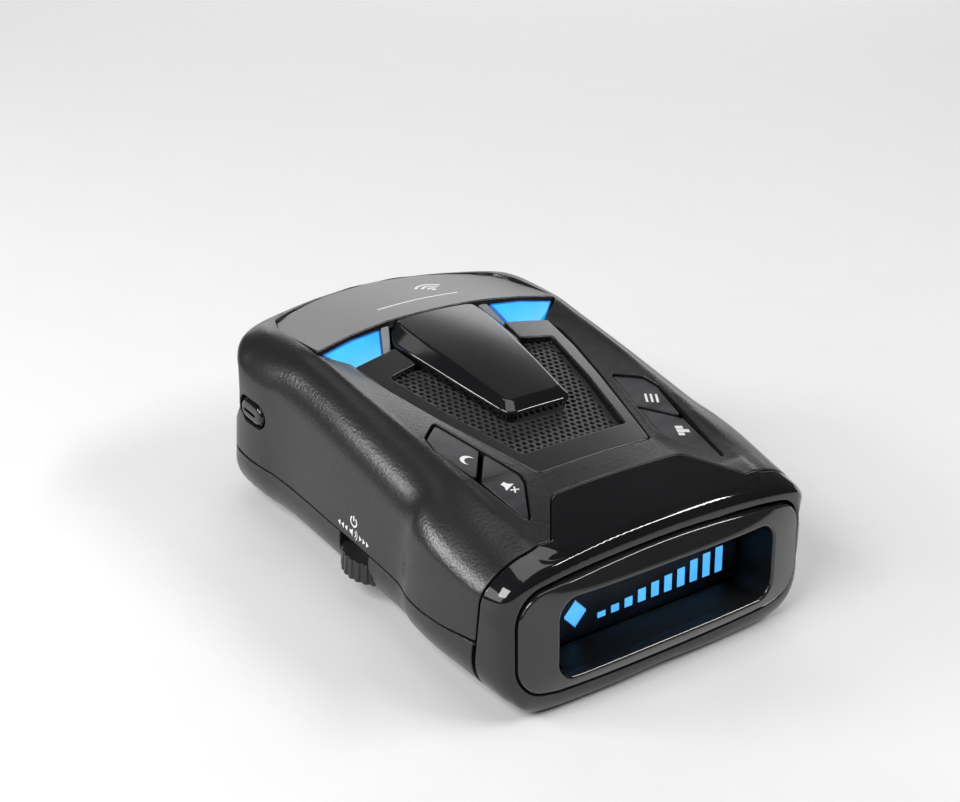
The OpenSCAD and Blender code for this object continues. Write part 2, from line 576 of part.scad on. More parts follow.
module laser_sensor() place() color([0.1, 0.1, 0.12]) {
    box([15.4, 78, board_hi], [23.4, 85, board_hi + 8.4]);
    translate([19.4, 84.9, board_hi + 4.4]) rotate([-90, 0, 0]) cylinder(d = 5.6, h = 1.4);
}
module gps_aerial() place() color([0.8, 0.76, 0.66]) {
    box([15, 46, board_hi], [29, 60, board_hi + 4]);
    box([17, 48, board_hi + 3.9], [27, 58, board_hi + 4.2]);
}
module rear_window() place() color([0.12, 0.02, 0.03]) intersection() {
    translate([0, 12.5, 14]) difference() {
        cylinder(r = 81.7, h = 15, $fn = 360);
        translate([0, 0, -1]) cylinder(r = 80, h = 17, $fn = 360);
    }
    box([-20, 84, 14], [20, 96, 29]);
}

// ---- Speaker ---------------------------------------------------------------------------
module at_speaker() translate([0, 38.5, 0]) children();
module speaker_basket() place() color([0.2, 0.2, 0.21]) at_speaker() rotate_extrude($fn = 64)
    polygon([[7.6, 19.4], [8.6, 19.4], [12.6, 25.2], [14, 25.2], [14, 27.6], [12.8, 27.6], [12.8, 26.2], [12, 26.2], [8, 20.4], [7.6, 20.4]]);
module speaker_cone() place() color([0.1, 0.1, 0.1]) at_speaker() rotate_extrude($fn = 64)
    polygon([[0, 23.4], [3.6, 22.6], [4.2, 22.4], [10.6, 26.4], [12.7, 26.25], [12.7, 26.6], [10.6, 26.9], [4.2, 23.2], [3.6, 23.4], [0, 24.3]]);
module speaker_magnet() place() color(steel) at_speaker() translate([0, 0, 14.6]) cylinder(d = 15, h = 5.8);

// ---- Power socket and label --------------------------------------------------------------
module power_jack() place() color(gloss) difference() {
    union() {
        box([20.5, 53.6, 5], [30, 62.4, board_lo]);
        translate([29.9, jack_at[1], jack_at[2]]) rotate([0, 90, 0]) cylinder(d = 5.6, h = 4.5);
    }
    translate([22.5, jack_at[1], jack_at[2]]) rotate([0, 90, 0]) cylinder(d = jack_d, h = 20);
    box([23.5, 59.3, 7], [28.5, 61, 9]);
}
module jack_contact() place() color(steel) box([23.8, 60.1, 7.2], [28.2, 60.5, 8.8]);
module rating_label() place() color([0.75, 0.75, 0.75]) box([-13.6, 30.4, 0.1], [13.6, 55.6, 0.3]);

upper_shell();
lower_shell();
deck_cover();
centre_plate();
speaker_grille();
front_bezel();
front_panel();
display_window();
display_panel();
display_board();
display_cable();
alert_lens_left();
alert_lens_right();
alert_led_left();
alert_led_right();
dark_key();
quiet_key();
menu_key();
city_key();
dark_switch();
quiet_switch();
menu_switch();
city_switch();
volume_wheel();
wheel_axle();
wheel_carriage();
wheel_bracket();
power_switch();
release_button();
bracket_latch();
release_spring();
bracket_socket();
main_board();
horn_aerial();
horn_cover();
shield_can();
laser_sensor();
gps_aerial();
speaker_basket();
speaker_cone();
speaker_magnet();
rear_window();
power_jack();
jack_contact();
casing_screws();
board_screws();
horn_screws();
board_connector();
rating_label();
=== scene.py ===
"""Radar detector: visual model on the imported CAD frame. Lengths in the modelling code are in
millimetres with y from the display towards the road end. Build.make turns them into the frame."""
import bpy, bmesh, json, math
import numpy as np
from mathutils import Vector, Matrix
from mathutils.bvhtree import BVHTree
from mathutils.geometry import barycentric_transform, delaunay_2d_cdt


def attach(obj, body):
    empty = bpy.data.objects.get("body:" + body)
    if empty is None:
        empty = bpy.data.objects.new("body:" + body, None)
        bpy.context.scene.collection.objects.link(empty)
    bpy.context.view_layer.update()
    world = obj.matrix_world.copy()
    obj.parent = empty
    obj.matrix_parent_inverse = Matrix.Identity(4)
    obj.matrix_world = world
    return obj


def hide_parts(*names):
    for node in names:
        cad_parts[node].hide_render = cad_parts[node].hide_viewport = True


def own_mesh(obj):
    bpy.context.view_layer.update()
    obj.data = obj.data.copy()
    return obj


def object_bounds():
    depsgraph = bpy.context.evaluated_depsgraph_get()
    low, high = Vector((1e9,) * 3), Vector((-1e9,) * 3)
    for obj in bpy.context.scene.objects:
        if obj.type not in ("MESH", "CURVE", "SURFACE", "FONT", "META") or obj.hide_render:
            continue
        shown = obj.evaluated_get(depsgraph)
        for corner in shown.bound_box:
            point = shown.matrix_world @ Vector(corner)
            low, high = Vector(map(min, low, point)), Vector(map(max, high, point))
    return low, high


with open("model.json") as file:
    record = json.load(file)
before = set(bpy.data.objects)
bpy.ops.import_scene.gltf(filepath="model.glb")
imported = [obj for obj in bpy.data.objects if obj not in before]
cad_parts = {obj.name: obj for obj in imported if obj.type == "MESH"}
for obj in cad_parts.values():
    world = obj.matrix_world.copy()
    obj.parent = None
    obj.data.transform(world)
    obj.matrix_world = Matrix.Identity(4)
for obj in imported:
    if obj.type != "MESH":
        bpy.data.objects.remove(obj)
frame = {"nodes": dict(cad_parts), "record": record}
cad_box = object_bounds()
nodes = frame["nodes"]
scene = bpy.context.scene
scene.view_settings.view_transform = "Standard"

# ---- Materials ------------------------------------------------------------------------------
def shader(name):
    m = bpy.data.materials.new(name)
    m.use_nodes = True
    tree = m.node_tree
    return m, tree, tree.nodes["Principled BSDF"]


def coordinates(tree, scale=(1, 1, 1)):
    coords = tree.nodes.new("ShaderNodeTexCoord")
    stretch = tree.nodes.new("ShaderNodeMapping")
    stretch.inputs["Scale"].default_value = scale
    tree.links.new(coords.outputs["Object"], stretch.inputs["Vector"])
    return stretch.outputs["Vector"]


def noise(tree, at, scale, detail=3.0, rough=0.55):
    n = tree.nodes.new("ShaderNodeTexNoise")
    n.inputs["Scale"].default_value = scale
    n.inputs["Detail"].default_value = detail
    n.inputs["Roughness"].default_value = rough
    tree.links.new(at, n.inputs["Vector"])
    return n.outputs["Fac"]


def spread(tree, value, lo, hi):
    r = tree.nodes.new("ShaderNodeMapRange")
    for socket, v in zip(("From Min", "From Max", "To Min", "To Max"), (0.3, 0.7, lo, hi)):
        r.inputs[socket].default_value = v
    tree.links.new(value, r.inputs["Value"])
    return r.outputs["Result"]


def tinted(tree, value, dark, light):
    ramp = tree.nodes.new("ShaderNodeValToRGB")
    ramp.color_ramp.elements[0].position = 0.32
    ramp.color_ramp.elements[1].position = 0.68
    ramp.color_ramp.elements[0].color = (*dark, 1)
    ramp.color_ramp.elements[1].color = (*light, 1)
    tree.links.new(value, ramp.inputs["Fac"])
    return ramp.outputs["Color"]


def bumped(tree, p, layers):
    """Chained bumps: (height, distance in metres, strength)."""
    last = None
    for height, distance, strength in layers:
        b = tree.nodes.new("ShaderNodeBump")
        b.inputs["Distance"].default_value = distance
        b.inputs["Strength"].default_value = strength
        tree.links.new(height, b.inputs["Height"])
        if last:
            tree.links.new(last, b.inputs["Normal"])
        last = b.outputs["Normal"]
    tree.links.new(last, p.inputs["Normal"])


def moulded(name, color, rough, grain=2600, depth=1.2e-5, strength=0.5, vary=0.06, coat=0.0,
            coat_rough=0.03, ior=1.5, wave=0.0, metallic=0.0, stretch=(1, 1, 1), tint=0.18):
    """Moulded plastic or painted metal: a fine surface grain, uneven sheen and slow waviness."""
    m, tree, p = shader(name)
    at = coordinates(tree, stretch)
    fine = noise(tree, at, grain, 2.0)
    slow = noise(tree, at, 55, 4.0)
    dark = [c * (1 - tint) for c in color]
    light = [c * (1 + tint) for c in color]
    tree.links.new(tinted(tree, slow, dark, light), p.inputs["Base Color"])
    tree.links.new(spread(tree, slow, rough - vary, rough + vary), p.inputs["Roughness"])
    p.inputs["Metallic"].default_value = metallic
    p.inputs["IOR"].default_value = ior
    p.inputs["Coat Weight"].default_value = coat
    p.inputs["Coat Roughness"].default_value = coat_rough
    layers = [(fine, depth, strength)]
    if wave:
        layers.append((noise(tree, at, 38, 1.0), wave, 1.0))
    bumped(tree, p, layers)
    return m


def glowing(name, core, rim, power):
    m, tree, p = shader(name)
    at = coordinates(tree)
    cloudy = noise(tree, at, 160, 2.0)
    glow = tinted(tree, cloudy, rim, core)
    tree.links.new(glow, p.inputs["Base Color"])
    tree.links.new(glow, p.inputs["Emission Color"])
    p.inputs["Emission Strength"].default_value = power
    tree.links.new(spread(tree, cloudy, 0.3, 0.4), p.inputs["Roughness"])
    bumped(tree, p, [(noise(tree, at, 1500, 1.0), 4e-6, 0.3)])
    return m


M = {
    "shell_black": moulded("shell_black", (0.0125, 0.0125, 0.0135), 0.27, grain=2000, depth=4.5e-5,
                           strength=1.0, vary=0.02, tint=0.08),
    "satin_black": moulded("satin_black", (0.014, 0.0138, 0.0132), 0.25, grain=2600, depth=1.0e-5,
                           strength=0.6, vary=0.015, tint=0.08),
    "gloss_black": moulded("gloss_black", (0.006, 0.006, 0.007), 0.06, grain=900, depth=1e-6,
                           strength=0.25, vary=0.02, coat=0.3, coat_rough=0.02, wave=5e-6),
    "panel_grey": moulded("panel_grey", (0.013, 0.013, 0.014), 0.1, grain=1200, depth=1e-6,
                          strength=0.3, vary=0.02, coat=0.5, coat_rough=0.03, ior=1.5),
    "recess_black": moulded("recess_black", (0.006, 0.006, 0.0065), 0.42, grain=3000, depth=4e-6,
                            strength=0.4, vary=0.04, ior=1.3),
    "frosted": moulded("frosted", (0.2, 0.21, 0.22), 0.55, grain=2600, depth=4e-5, strength=1.0,
                       tint=0.3),
    "hump_black": moulded("hump_black", (0.012, 0.012, 0.0125), 0.19, grain=3600, depth=4e-6,
                          strength=0.35, vary=0.015, tint=0.08),
    "grille_grey": moulded("grille_grey", (0.035, 0.035, 0.034), 0.4, grain=2500, depth=6e-6,
                           strength=0.5, metallic=0.2),
    "key_grey": moulded("key_grey", (0.03, 0.031, 0.034), 0.33, grain=1100, depth=3e-5,
                        strength=1.0, stretch=(0.3, 4.5, 1), metallic=0.4, tint=0.4),
    "display_dark": moulded("display_dark", (0.008, 0.014, 0.03), 0.6, grain=6000, depth=2e-6,
                            strength=0.2, tint=0.3),
    "board_green": moulded("board_green", (0.012, 0.07, 0.035), 0.35, grain=700, coat=0.4,
                           tint=0.3),
    "cable_orange": moulded("cable_orange", (0.4, 0.16, 0.03), 0.3, grain=900, coat=0.3),
    "led_white": moulded("led_white", (0.75, 0.75, 0.7), 0.4, grain=1500),
    "component_black": moulded("component_black", (0.016, 0.016, 0.018), 0.5, grain=2600),
    "steel": moulded("steel", (0.5, 0.5, 0.51), 0.28, grain=1800, depth=4e-6, metallic=1.0),
    "nylon": moulded("nylon", (0.55, 0.53, 0.47), 0.45, grain=1500),
    "latch_grey": moulded("latch_grey", (0.1, 0.1, 0.105), 0.4, grain=1500, metallic=0.6),
    "die_cast": moulded("die_cast", (0.42, 0.42, 0.44), 0.42, grain=1100, depth=1.5e-5,
                        metallic=0.9),
    "brass_plate": moulded("brass_plate", (0.6, 0.43, 0.16), 0.3, grain=1500, metallic=1.0),
    "ceramic_tan": moulded("ceramic_tan", (0.55, 0.45, 0.32), 0.5, grain=1200),
    "cone_black": moulded("cone_black", (0.02, 0.02, 0.02), 0.7, grain=900, depth=4e-5),
    "window_red": moulded("window_red", (0.018, 0.004, 0.006), 0.07, grain=900, depth=1e-6,
                          strength=0.2, vary=0.02, coat=1.0, coat_rough=0.02),
    "label_silver": moulded("label_silver", (0.5, 0.5, 0.5), 0.4, grain=1500, metallic=0.4),
    "rib_black": moulded("rib_black", (0.018, 0.018, 0.018), 0.35, grain=2600, depth=6e-6),
    "print_white": moulded("print_white", (0.7, 0.7, 0.69), 0.5, grain=5000, depth=3e-6),
    "alert_blue": glowing("alert_blue", (0.012, 0.36, 0.72), (0.01, 0.3, 0.68), 0.62),
    "alert_rim": glowing("alert_rim", (0.01, 0.14, 0.5), (0.008, 0.1, 0.42), 0.5),
    "display_glow": glowing("display_glow", (0.12, 0.55, 1.0), (0.09, 0.46, 0.92), 1.1),
}


def glass(name, color, rough):
    m, tree, p = shader(name)
    at = coordinates(tree)
    slow = noise(tree, at, 40, 2.0)
    tree.links.new(tinted(tree, slow, [c * 0.97 for c in color], color), p.inputs["Base Color"])
    tree.links.new(spread(tree, slow, rough * 0.6, rough * 1.6), p.inputs["Roughness"])
    p.inputs["Transmission Weight"].default_value = 1.0
    p.inputs["IOR"].default_value = 1.06
    bumped(tree, p, [(noise(tree, at, 60, 1.0), 2e-6, 0.3)])
    return m


M["display_glass"] = glass("display_glass", (0.8, 0.85, 0.92), 0.01)

# ---- Every CAD node takes its slot's finish --------------------------------------------------
SLOT_OF = {s["node"]: s["material_slot"] for s in frame["record"]["subparts"]}
for node_name, ob in nodes.items():
    ob.data.materials.clear()
    ob.data.materials.append(M[SLOT_OF[node_name]])

# ---- The skin of the casing: the same curves as the CAD, sampled densely ----------------------
SHIFT = 45.6
# waist x, y; crease x, y, z; shoulder drop; width and height of the rounding at the bottom edge
HALF = [
    [0, -2.4, 0, -0.9, 28.5, 2.4, 3, 3], [14, -2.4, 13, -0.9, 28.2, 2.4, 3, 3],
    [29, -2.2, 22.5, -0.5, 27.4, 3, 5.5, 5.2], [33.7, -0.6, 25.2, 1.8, 27.6, 5, 10, 9],
    [35.4, 3.8, 25.8, 5.6, 28.2, 6.5, 12, 10.5], [36.2, 9, 26, 10.5, 29, 7.5, 13.5, 11],
    [36.8, 18, 26.4, 18, 30.6, 8, 13.5, 11], [36.5, 24, 26.8, 24, 31.6, 8.5, 13, 11],
    [35.3, 29, 27, 29, 32.3, 9, 12, 10.5], [35.1, 38, 27.3, 38, 33.4, 9, 11.5, 10],
    [35.1, 50, 27.6, 50, 34.8, 9, 11.5, 10], [35.1, 63, 28, 63, 36, 9, 11.5, 10],
    [35.5, 70, 28.2, 69.5, 36.5, 9, 12, 10], [36.3, 75.5, 28.1, 75.5, 36.3, 9, 12, 10],
    [36.5, 80.5, 28, 80, 36, 8.5, 11.5, 10], [35.6, 85, 27.6, 83.6, 35.6, 6, 10, 9],
    [32.2, 88.8, 26.4, 86.8, 35.2, 3.2, 7, 7], [25.4, 91, 22, 89, 35.3, 2.2, 4.5, 4.5],
    [13, 93.5, 12, 92, 35.5, 2, 3, 3], [0, 94.5, 0, 93.2, 35.6, 2, 3, 3]]
CENTRE = np.array([0.0, 46.0])


def catmull(rows, n, closed=True):
    """A smooth curve through rows, n steps between rows."""
    a = np.asarray(rows, float)
    if closed:
        p, q, r, s = np.roll(a, 1, 0), a, np.roll(a, -1, 0), np.roll(a, -2, 0)
    else:
        pad = np.vstack([2 * a[0] - a[1], a, 2 * a[-1] - a[-2]])
        p, q, r, s = pad[:-3], pad[1:-2], pad[2:-1], pad[3:]
    out = []
    for t in np.arange(n) / n:
        out.append(0.5 * (2 * q + (r - p) * t + (2 * p - 5 * q + 4 * r - s) * t * t
                          + (3 * q - p - 3 * r + s) * t ** 3))
    out = np.stack(out, 1).reshape(-1, a.shape[1])
    return out if closed else np.vstack([out, a[-1]])


mirrored = [[-h[0], h[1], -h[2]] + h[3:] for h in HALF[-2:0:-1]]
OUT = catmull(HALF + mirrored, 8)
PLATE_EDGE = ((0, 10, 21, 62, 94), (20, 16, 13, 22.7, 24))
CREASE_Y = (-2, 10, 24, 38, 63, 70, 80, 94)
CREASE_X = (25, 26, 26.8, 27.3, 28, 28.2, 28, 26)
CREASE_Z = (28, 29, 31.6, 33.4, 36, 36.5, 36, 35.2)


def plate_top(x, y):
    return 31.2 + 0.105 * (y - 20.8) - 0.002 * x * x


def top_z(x, y):
    x = np.abs(x)
    edge = np.interp(y, *PLATE_EDGE)
    crease = np.interp(y, CREASE_Y, CREASE_X)
    share = np.clip((x - edge) / (crease - edge), 0, 1)
    return plate_top(np.minimum(x, edge), y) * (1 - share) + np.interp(y, CREASE_Y, CREASE_Z) * share


def leaned(x, y, z):
    return np.stack([x, y + 0.14 * (z - 3) * np.clip((9 - y) / 11.4, 0, 1) ** 1.3, z], 1)


def inward(x, y, off):
    dy = y - np.clip(y, 14, 80)
    l = np.maximum(np.hypot(x, dy), 1e-3)
    return x - x / l * off, y - dy / l * off


def cap_rings():
    rings = []
    for s in np.concatenate([[0.04], np.linspace(0.1, 1, 34)[:-1]]):
        x, y = OUT[:, 2] * s, CENTRE[1] + (OUT[:, 3] - CENTRE[1]) * s
        rings.append(leaned(x, y, top_z(x, y)))
    return rings


def side_rings():
    """From the crease down the shoulder and the side to the edge of the base, and in along it."""
    rings = []
    shoulder = catmull([[0, 0], [0.05, 0.2], [0.2, 0.47], [0.42, 0.71], [0.7, 0.9], [1, 1]], 5, False)
    for f, g in shoulder[::-1]:
        x = OUT[:, 0] + (OUT[:, 2] - OUT[:, 0]) * f
        y = OUT[:, 1] + (OUT[:, 3] - OUT[:, 1]) * f
        rings.append(leaned(x, y, OUT[:, 4] - OUT[:, 5] * (1 - g)))
    for z in (17, 15.5, 14, 12.6):
        rings.append(leaned(OUT[:, 0], OUT[:, 1], np.full(len(OUT), float(z))))
    for t in np.linspace(0, 90, 14):
        x, y = inward(OUT[:, 0], OUT[:, 1], OUT[:, 6] * (1 - math.cos(math.radians(t))))
        rings.append(leaned(x, y, OUT[:, 7] * (1 - math.sin(math.radians(t)))))
    for s in (0.9, 0.8, 0.7, 0.6, 0.5, 0.4):
        x, y = inward(OUT[:, 0], OUT[:, 1], OUT[:, 6])
        x, y = x * s, CENTRE[1] + (y - CENTRE[1]) * s
        rings.append(leaned(x, y, np.zeros(len(OUT))))
    return rings


class Skin:
    """A surface given by rings from its middle outwards, unrolled round that middle onto a plane."""

    def __init__(self, rings, flat):
        self.p = np.array(rings)
        r, n = self.p.shape[:2]
        self.plane = np.zeros((r, n, 2))
        self.plane[:flat + 1] = self.p[:flat + 1, :, :2]
        way = self.plane[flat] - CENTRE
        way /= np.linalg.norm(way, axis=1)[:, None]
        for k in range(flat + 1, r):
            step = np.linalg.norm(self.p[k] - self.p[k - 1], axis=1)
            self.plane[k] = self.plane[k - 1] + way * np.maximum(step, 0.05)[:, None]
        along = np.roll(self.p, -1, 1) - np.roll(self.p, 1, 1)
        out = np.gradient(self.p, axis=0)
        nrm = np.cross(out, along)
        nrm /= np.maximum(np.linalg.norm(nrm, axis=2), 1e-9)[..., None]
        middle = self.p.reshape(-1, 3).mean(0)
        if np.sum(nrm * (self.p - middle)) < 0:
            nrm = -nrm
        if nrm[:flat, :, 2].mean() < 0:
            self.plane[..., 0] *= -1
        a = (np.arange(r - 1)[:, None] * n + np.arange(n)[None]).ravel()
        b = (np.arange(r - 1)[:, None] * n + (np.arange(n)[None] + 1) % n).ravel()
        self.tris = np.vstack([np.stack([a, b, a + n], 1), np.stack([b, b + n, a + n], 1)]).tolist()
        self.P3 = [Vector(v) for v in self.p.reshape(-1, 3)]
        self.N3 = [Vector(v) for v in nrm.reshape(-1, 3)]
        self.P2 = [Vector((v[0], v[1], 0)) for v in self.plane.reshape(-1, 2)]
        self.solid = BVHTree.FromPolygons(self.P3, self.tris)
        self.chart = BVHTree.FromPolygons(self.P2, self.tris)

    def corners(self, points, i):
        return [points[k] for k in self.tris[i]]

    def hit(self, origin, way):
        """Where a ray meets the skin, in plane coordinates."""
        loc, _, i, _ = self.solid.ray_cast(Vector(origin), Vector(way).normalized())
        if loc is None:
            raise ValueError("the ray from %s misses the skin" % (tuple(origin),))
        q = barycentric_transform(loc, *self.corners(self.P3, i), *self.corners(self.P2, i))
        return (q.x, q.y)

    def at(self, uv):
        """Positions and normals for plane coordinates."""
        pos, nrm = [], []
        for u, v in uv:
            loc, _, i, _ = self.chart.ray_cast(Vector((u, v, 5)), Vector((0, 0, -1)))
            if loc is None:
                loc, _, i, _ = self.chart.find_nearest(Vector((u, v, 0)))
            src = self.corners(self.P2, i)
            pos.append(barycentric_transform(loc, *src, *self.corners(self.P3, i)))
            nrm.append(barycentric_transform(loc, *src, *self.corners(self.N3, i)).normalized())
        return np.array(pos), np.array(nrm)

    def candidates(self, spacing):
        """Plane coordinates of ring points spread evenly over the surface."""
        pts = []
        r, n = self.plane.shape[:2]
        last = None
        for k in range(r):
            if last is not None and np.linalg.norm(self.p[k] - last, axis=1).max() < spacing * 0.75:
                continue
            last = self.p[k]
            run = np.linalg.norm(np.diff(self.p[k], axis=0), axis=1).sum()
            step = max(1, int(round(n * spacing / run)))
            pts.append(self.plane[k, (k % 2) * step // 2::step])
        return np.vstack(pts)


class Sheet:
    """A surface given by a function of two plane coordinates."""

    def __init__(self, f):
        self.f = f

    def at(self, uv):
        uv = np.asarray(uv, float)
        e = 0.05
        p = self.f(uv[:, 0], uv[:, 1])
        du = self.f(uv[:, 0] + e, uv[:, 1]) - self.f(uv[:, 0] - e, uv[:, 1])
        dv = self.f(uv[:, 0], uv[:, 1] + e) - self.f(uv[:, 0], uv[:, 1] - e)
        n = np.cross(du, dv)
        return p, n / np.linalg.norm(n, axis=1)[:, None]

    def candidates(self, spacing, lo=(-40, -10), hi=(40, 100)):
        xs = np.arange(lo[0], hi[0], spacing)
        ys = np.arange(lo[1], hi[1], spacing * 0.866)
        g = [np.stack([xs + (i % 2) * spacing / 2, np.full(len(xs), y)], 1) for i, y in enumerate(ys)]
        return np.vstack(g)


# ---- Outlines and panels ---------------------------------------------------------------------
def area_of(loop):
    x, y = loop[:, 0], loop[:, 1]
    return 0.5 * np.sum(x * np.roll(y, -1) - y * np.roll(x, -1))


def filleted(points, radius, n=5):
    """A closed outline with each corner rounded. radius is one number or one for each corner."""
    a = np.asarray(points, float)
    out = []
    for i, p in enumerate(a):
        q, s = a[i - 1], a[(i + 1) % len(a)]
        u, v = q - p, s - p
        lu, lv = np.linalg.norm(u), np.linalg.norm(v)
        u, v = u / lu, v / lv
        turn = math.acos(np.clip(-u @ v, -1, 1))
        r = radius[i] if isinstance(radius, (list, tuple)) else radius
        if turn < 0.12 or r <= 0:
            out.append(p)
            continue
        d = min(r * math.tan(turn / 2), 0.45 * lu, 0.45 * lv)
        for t in np.linspace(0, 1, n):
            out.append((1 - t) ** 2 * (p + u * d) + 2 * t * (1 - t) * p + t * t * (p + v * d))
    return np.array(out)


def spaced(loop, step):
    """A closed loop with no side longer than step."""
    out = []
    for i, p in enumerate(loop):
        q = loop[(i + 1) % len(loop)]
        k = max(1, int(math.ceil(np.linalg.norm(q - p) / step)))
        out.extend(p + (q - p) * t / k for t in range(k))
    return np.array(out)


def thinned(loop, least):
    keep = [loop[0]]
    for p in loop[1:]:
        if np.linalg.norm(p - keep[-1]) >= least:
            keep.append(p)
    if np.linalg.norm(keep[-1] - keep[0]) < least:
        keep.pop()
    return np.array(keep)


def grown(loop, d):
    """A closed loop moved out by d to the right of its direction."""
    e = np.roll(loop, -1, 0) - loop
    e /= np.maximum(np.linalg.norm(e, axis=1), 1e-9)[:, None]
    n = np.stack([e[:, 1], -e[:, 0]], 1)
    m = n + np.roll(n, 1, 0)
    m /= np.maximum(np.linalg.norm(m, axis=1), 1e-9)[:, None]
    c = np.maximum(np.sum(m * n, 1), 0.45)
    return loop + m * (d / c)[:, None]


def inside(points, loops):
    hit = np.zeros(len(points), bool)
    x, y = points[:, 0], points[:, 1]
    for loop in loops:
        a, b = loop, np.roll(loop, -1, 0)
        for p, q in zip(a, b):
            if p[1] == q[1]:
                continue
            hit ^= ((p[1] > y) != (q[1] > y)) & (x < (q[0] - p[0]) * (y - p[1]) / (q[1] - p[1]) + p[0])
    return hit


def clear_of(points, loops, gap):
    edge = np.vstack(loops)
    keep = np.ones(len(points), bool)
    for s in range(0, len(points), 500):
        d = np.linalg.norm(points[s:s + 500, None] - edge[None], axis=2).min(1)
        keep[s:s + 500] = d > gap
    return points[keep]


def triangulated(loops, fill):
    verts = np.vstack(loops + [fill]) if len(fill) else np.vstack(loops)
    edges, base = [], 0
    for loop in loops:
        n = len(loop)
        edges += [(base + i, base + (i + 1) % n) for i in range(n)]
        base += n
    got = delaunay_2d_cdt([Vector(v) for v in verts], edges, [], 0, 1e-6)
    pts = np.array([tuple(v) for v in got[0]])
    tris = np.array(got[2])
    back = {}
    for new, olds in enumerate(got[3]):
        for o in olds:
            back[o] = new
    centre = pts[tris].mean(1)
    tris = tris[inside(centre, loops)]
    a, b, c = pts[tris[:, 0]], pts[tris[:, 1]], pts[tris[:, 2]]
    ar = (b[:, 0] - a[:, 0]) * (c[:, 1] - a[:, 1]) - (b[:, 1] - a[:, 1]) * (c[:, 0] - a[:, 0])
    tris[ar < 0] = tris[ar < 0][:, ::-1]
    return pts, tris[np.abs(ar) > 1e-9], back


def linked(name, data):
    """A new object in the scene."""
    ob = bpy.data.objects.new(name, data)
    scene.collection.objects.link(ob)
    return ob


def tagged(ob, body, replaces):
    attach(ob, body)
    if replaces:
        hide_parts(*replaces)
    return ob


class Build:
    """Collects vertices, faces and corner normals for one piece."""

    def __init__(self):
        self.v, self.f, self.n, self.count = [], [], [], 0
        self.zone, self.zones = 0, []

    def add(self, points):
        points = np.asarray(points, float)
        self.v.append(points)
        self.count += len(points)
        return np.arange(self.count - len(points), self.count)

    def faces(self, tris, normals):
        """tris index the piece's vertices; normals are one for each corner."""
        for t, n in zip(tris, normals):
            self.f.append([int(i) for i in t])
            self.zones.append(self.zone)
            self.n.extend(n)

    def strip(self, a, b, na, nb, flip):
        """Quads between two closed rings of the same length."""
        k = len(a)
        for i in range(k):
            j = (i + 1) % k
            quad, nrm = [a[i], a[j], b[j], b[i]], [na[i], na[j], nb[j], nb[i]]
            if flip:
                quad, nrm = quad[::-1], nrm[::-1]
            self.f.append([int(q) for q in quad])
            self.zones.append(self.zone)
            self.n.extend(nrm)

    def face(self, ids, normal):
        """One flat face."""
        self.f.append([int(i) for i in ids])
        self.zones.append(self.zone)
        self.n.extend([normal] * len(ids))

    def make(self, name, material, body="housing", replaces=(), slot=None):
        pts = np.vstack(self.v)
        used = sorted({i for f in self.f for i in f})
        new = {old: k for k, old in enumerate(used)}
        pts, self.f = pts[used], [[new[i] for i in f] for f in self.f]
        pts = np.stack([pts[:, 0], pts[:, 1] - SHIFT, pts[:, 2]], 1) / 1000.0
        mesh = bpy.data.meshes.new(name)
        mesh.from_pydata(pts.tolist(), [], self.f)
        mesh.polygons.foreach_set("use_smooth", [True] * len(mesh.polygons))
        mesh.update()
        mesh.normals_split_custom_set([tuple(n) for n in self.n])
        for m in material.split():
            mesh.materials.append(M[m])
        mesh.polygons.foreach_set("material_index", self.zones)
        return tagged(linked(name, mesh), body, replaces)


def unit(v):
    return v / np.maximum(np.linalg.norm(v, axis=1), 1e-9)[:, None]


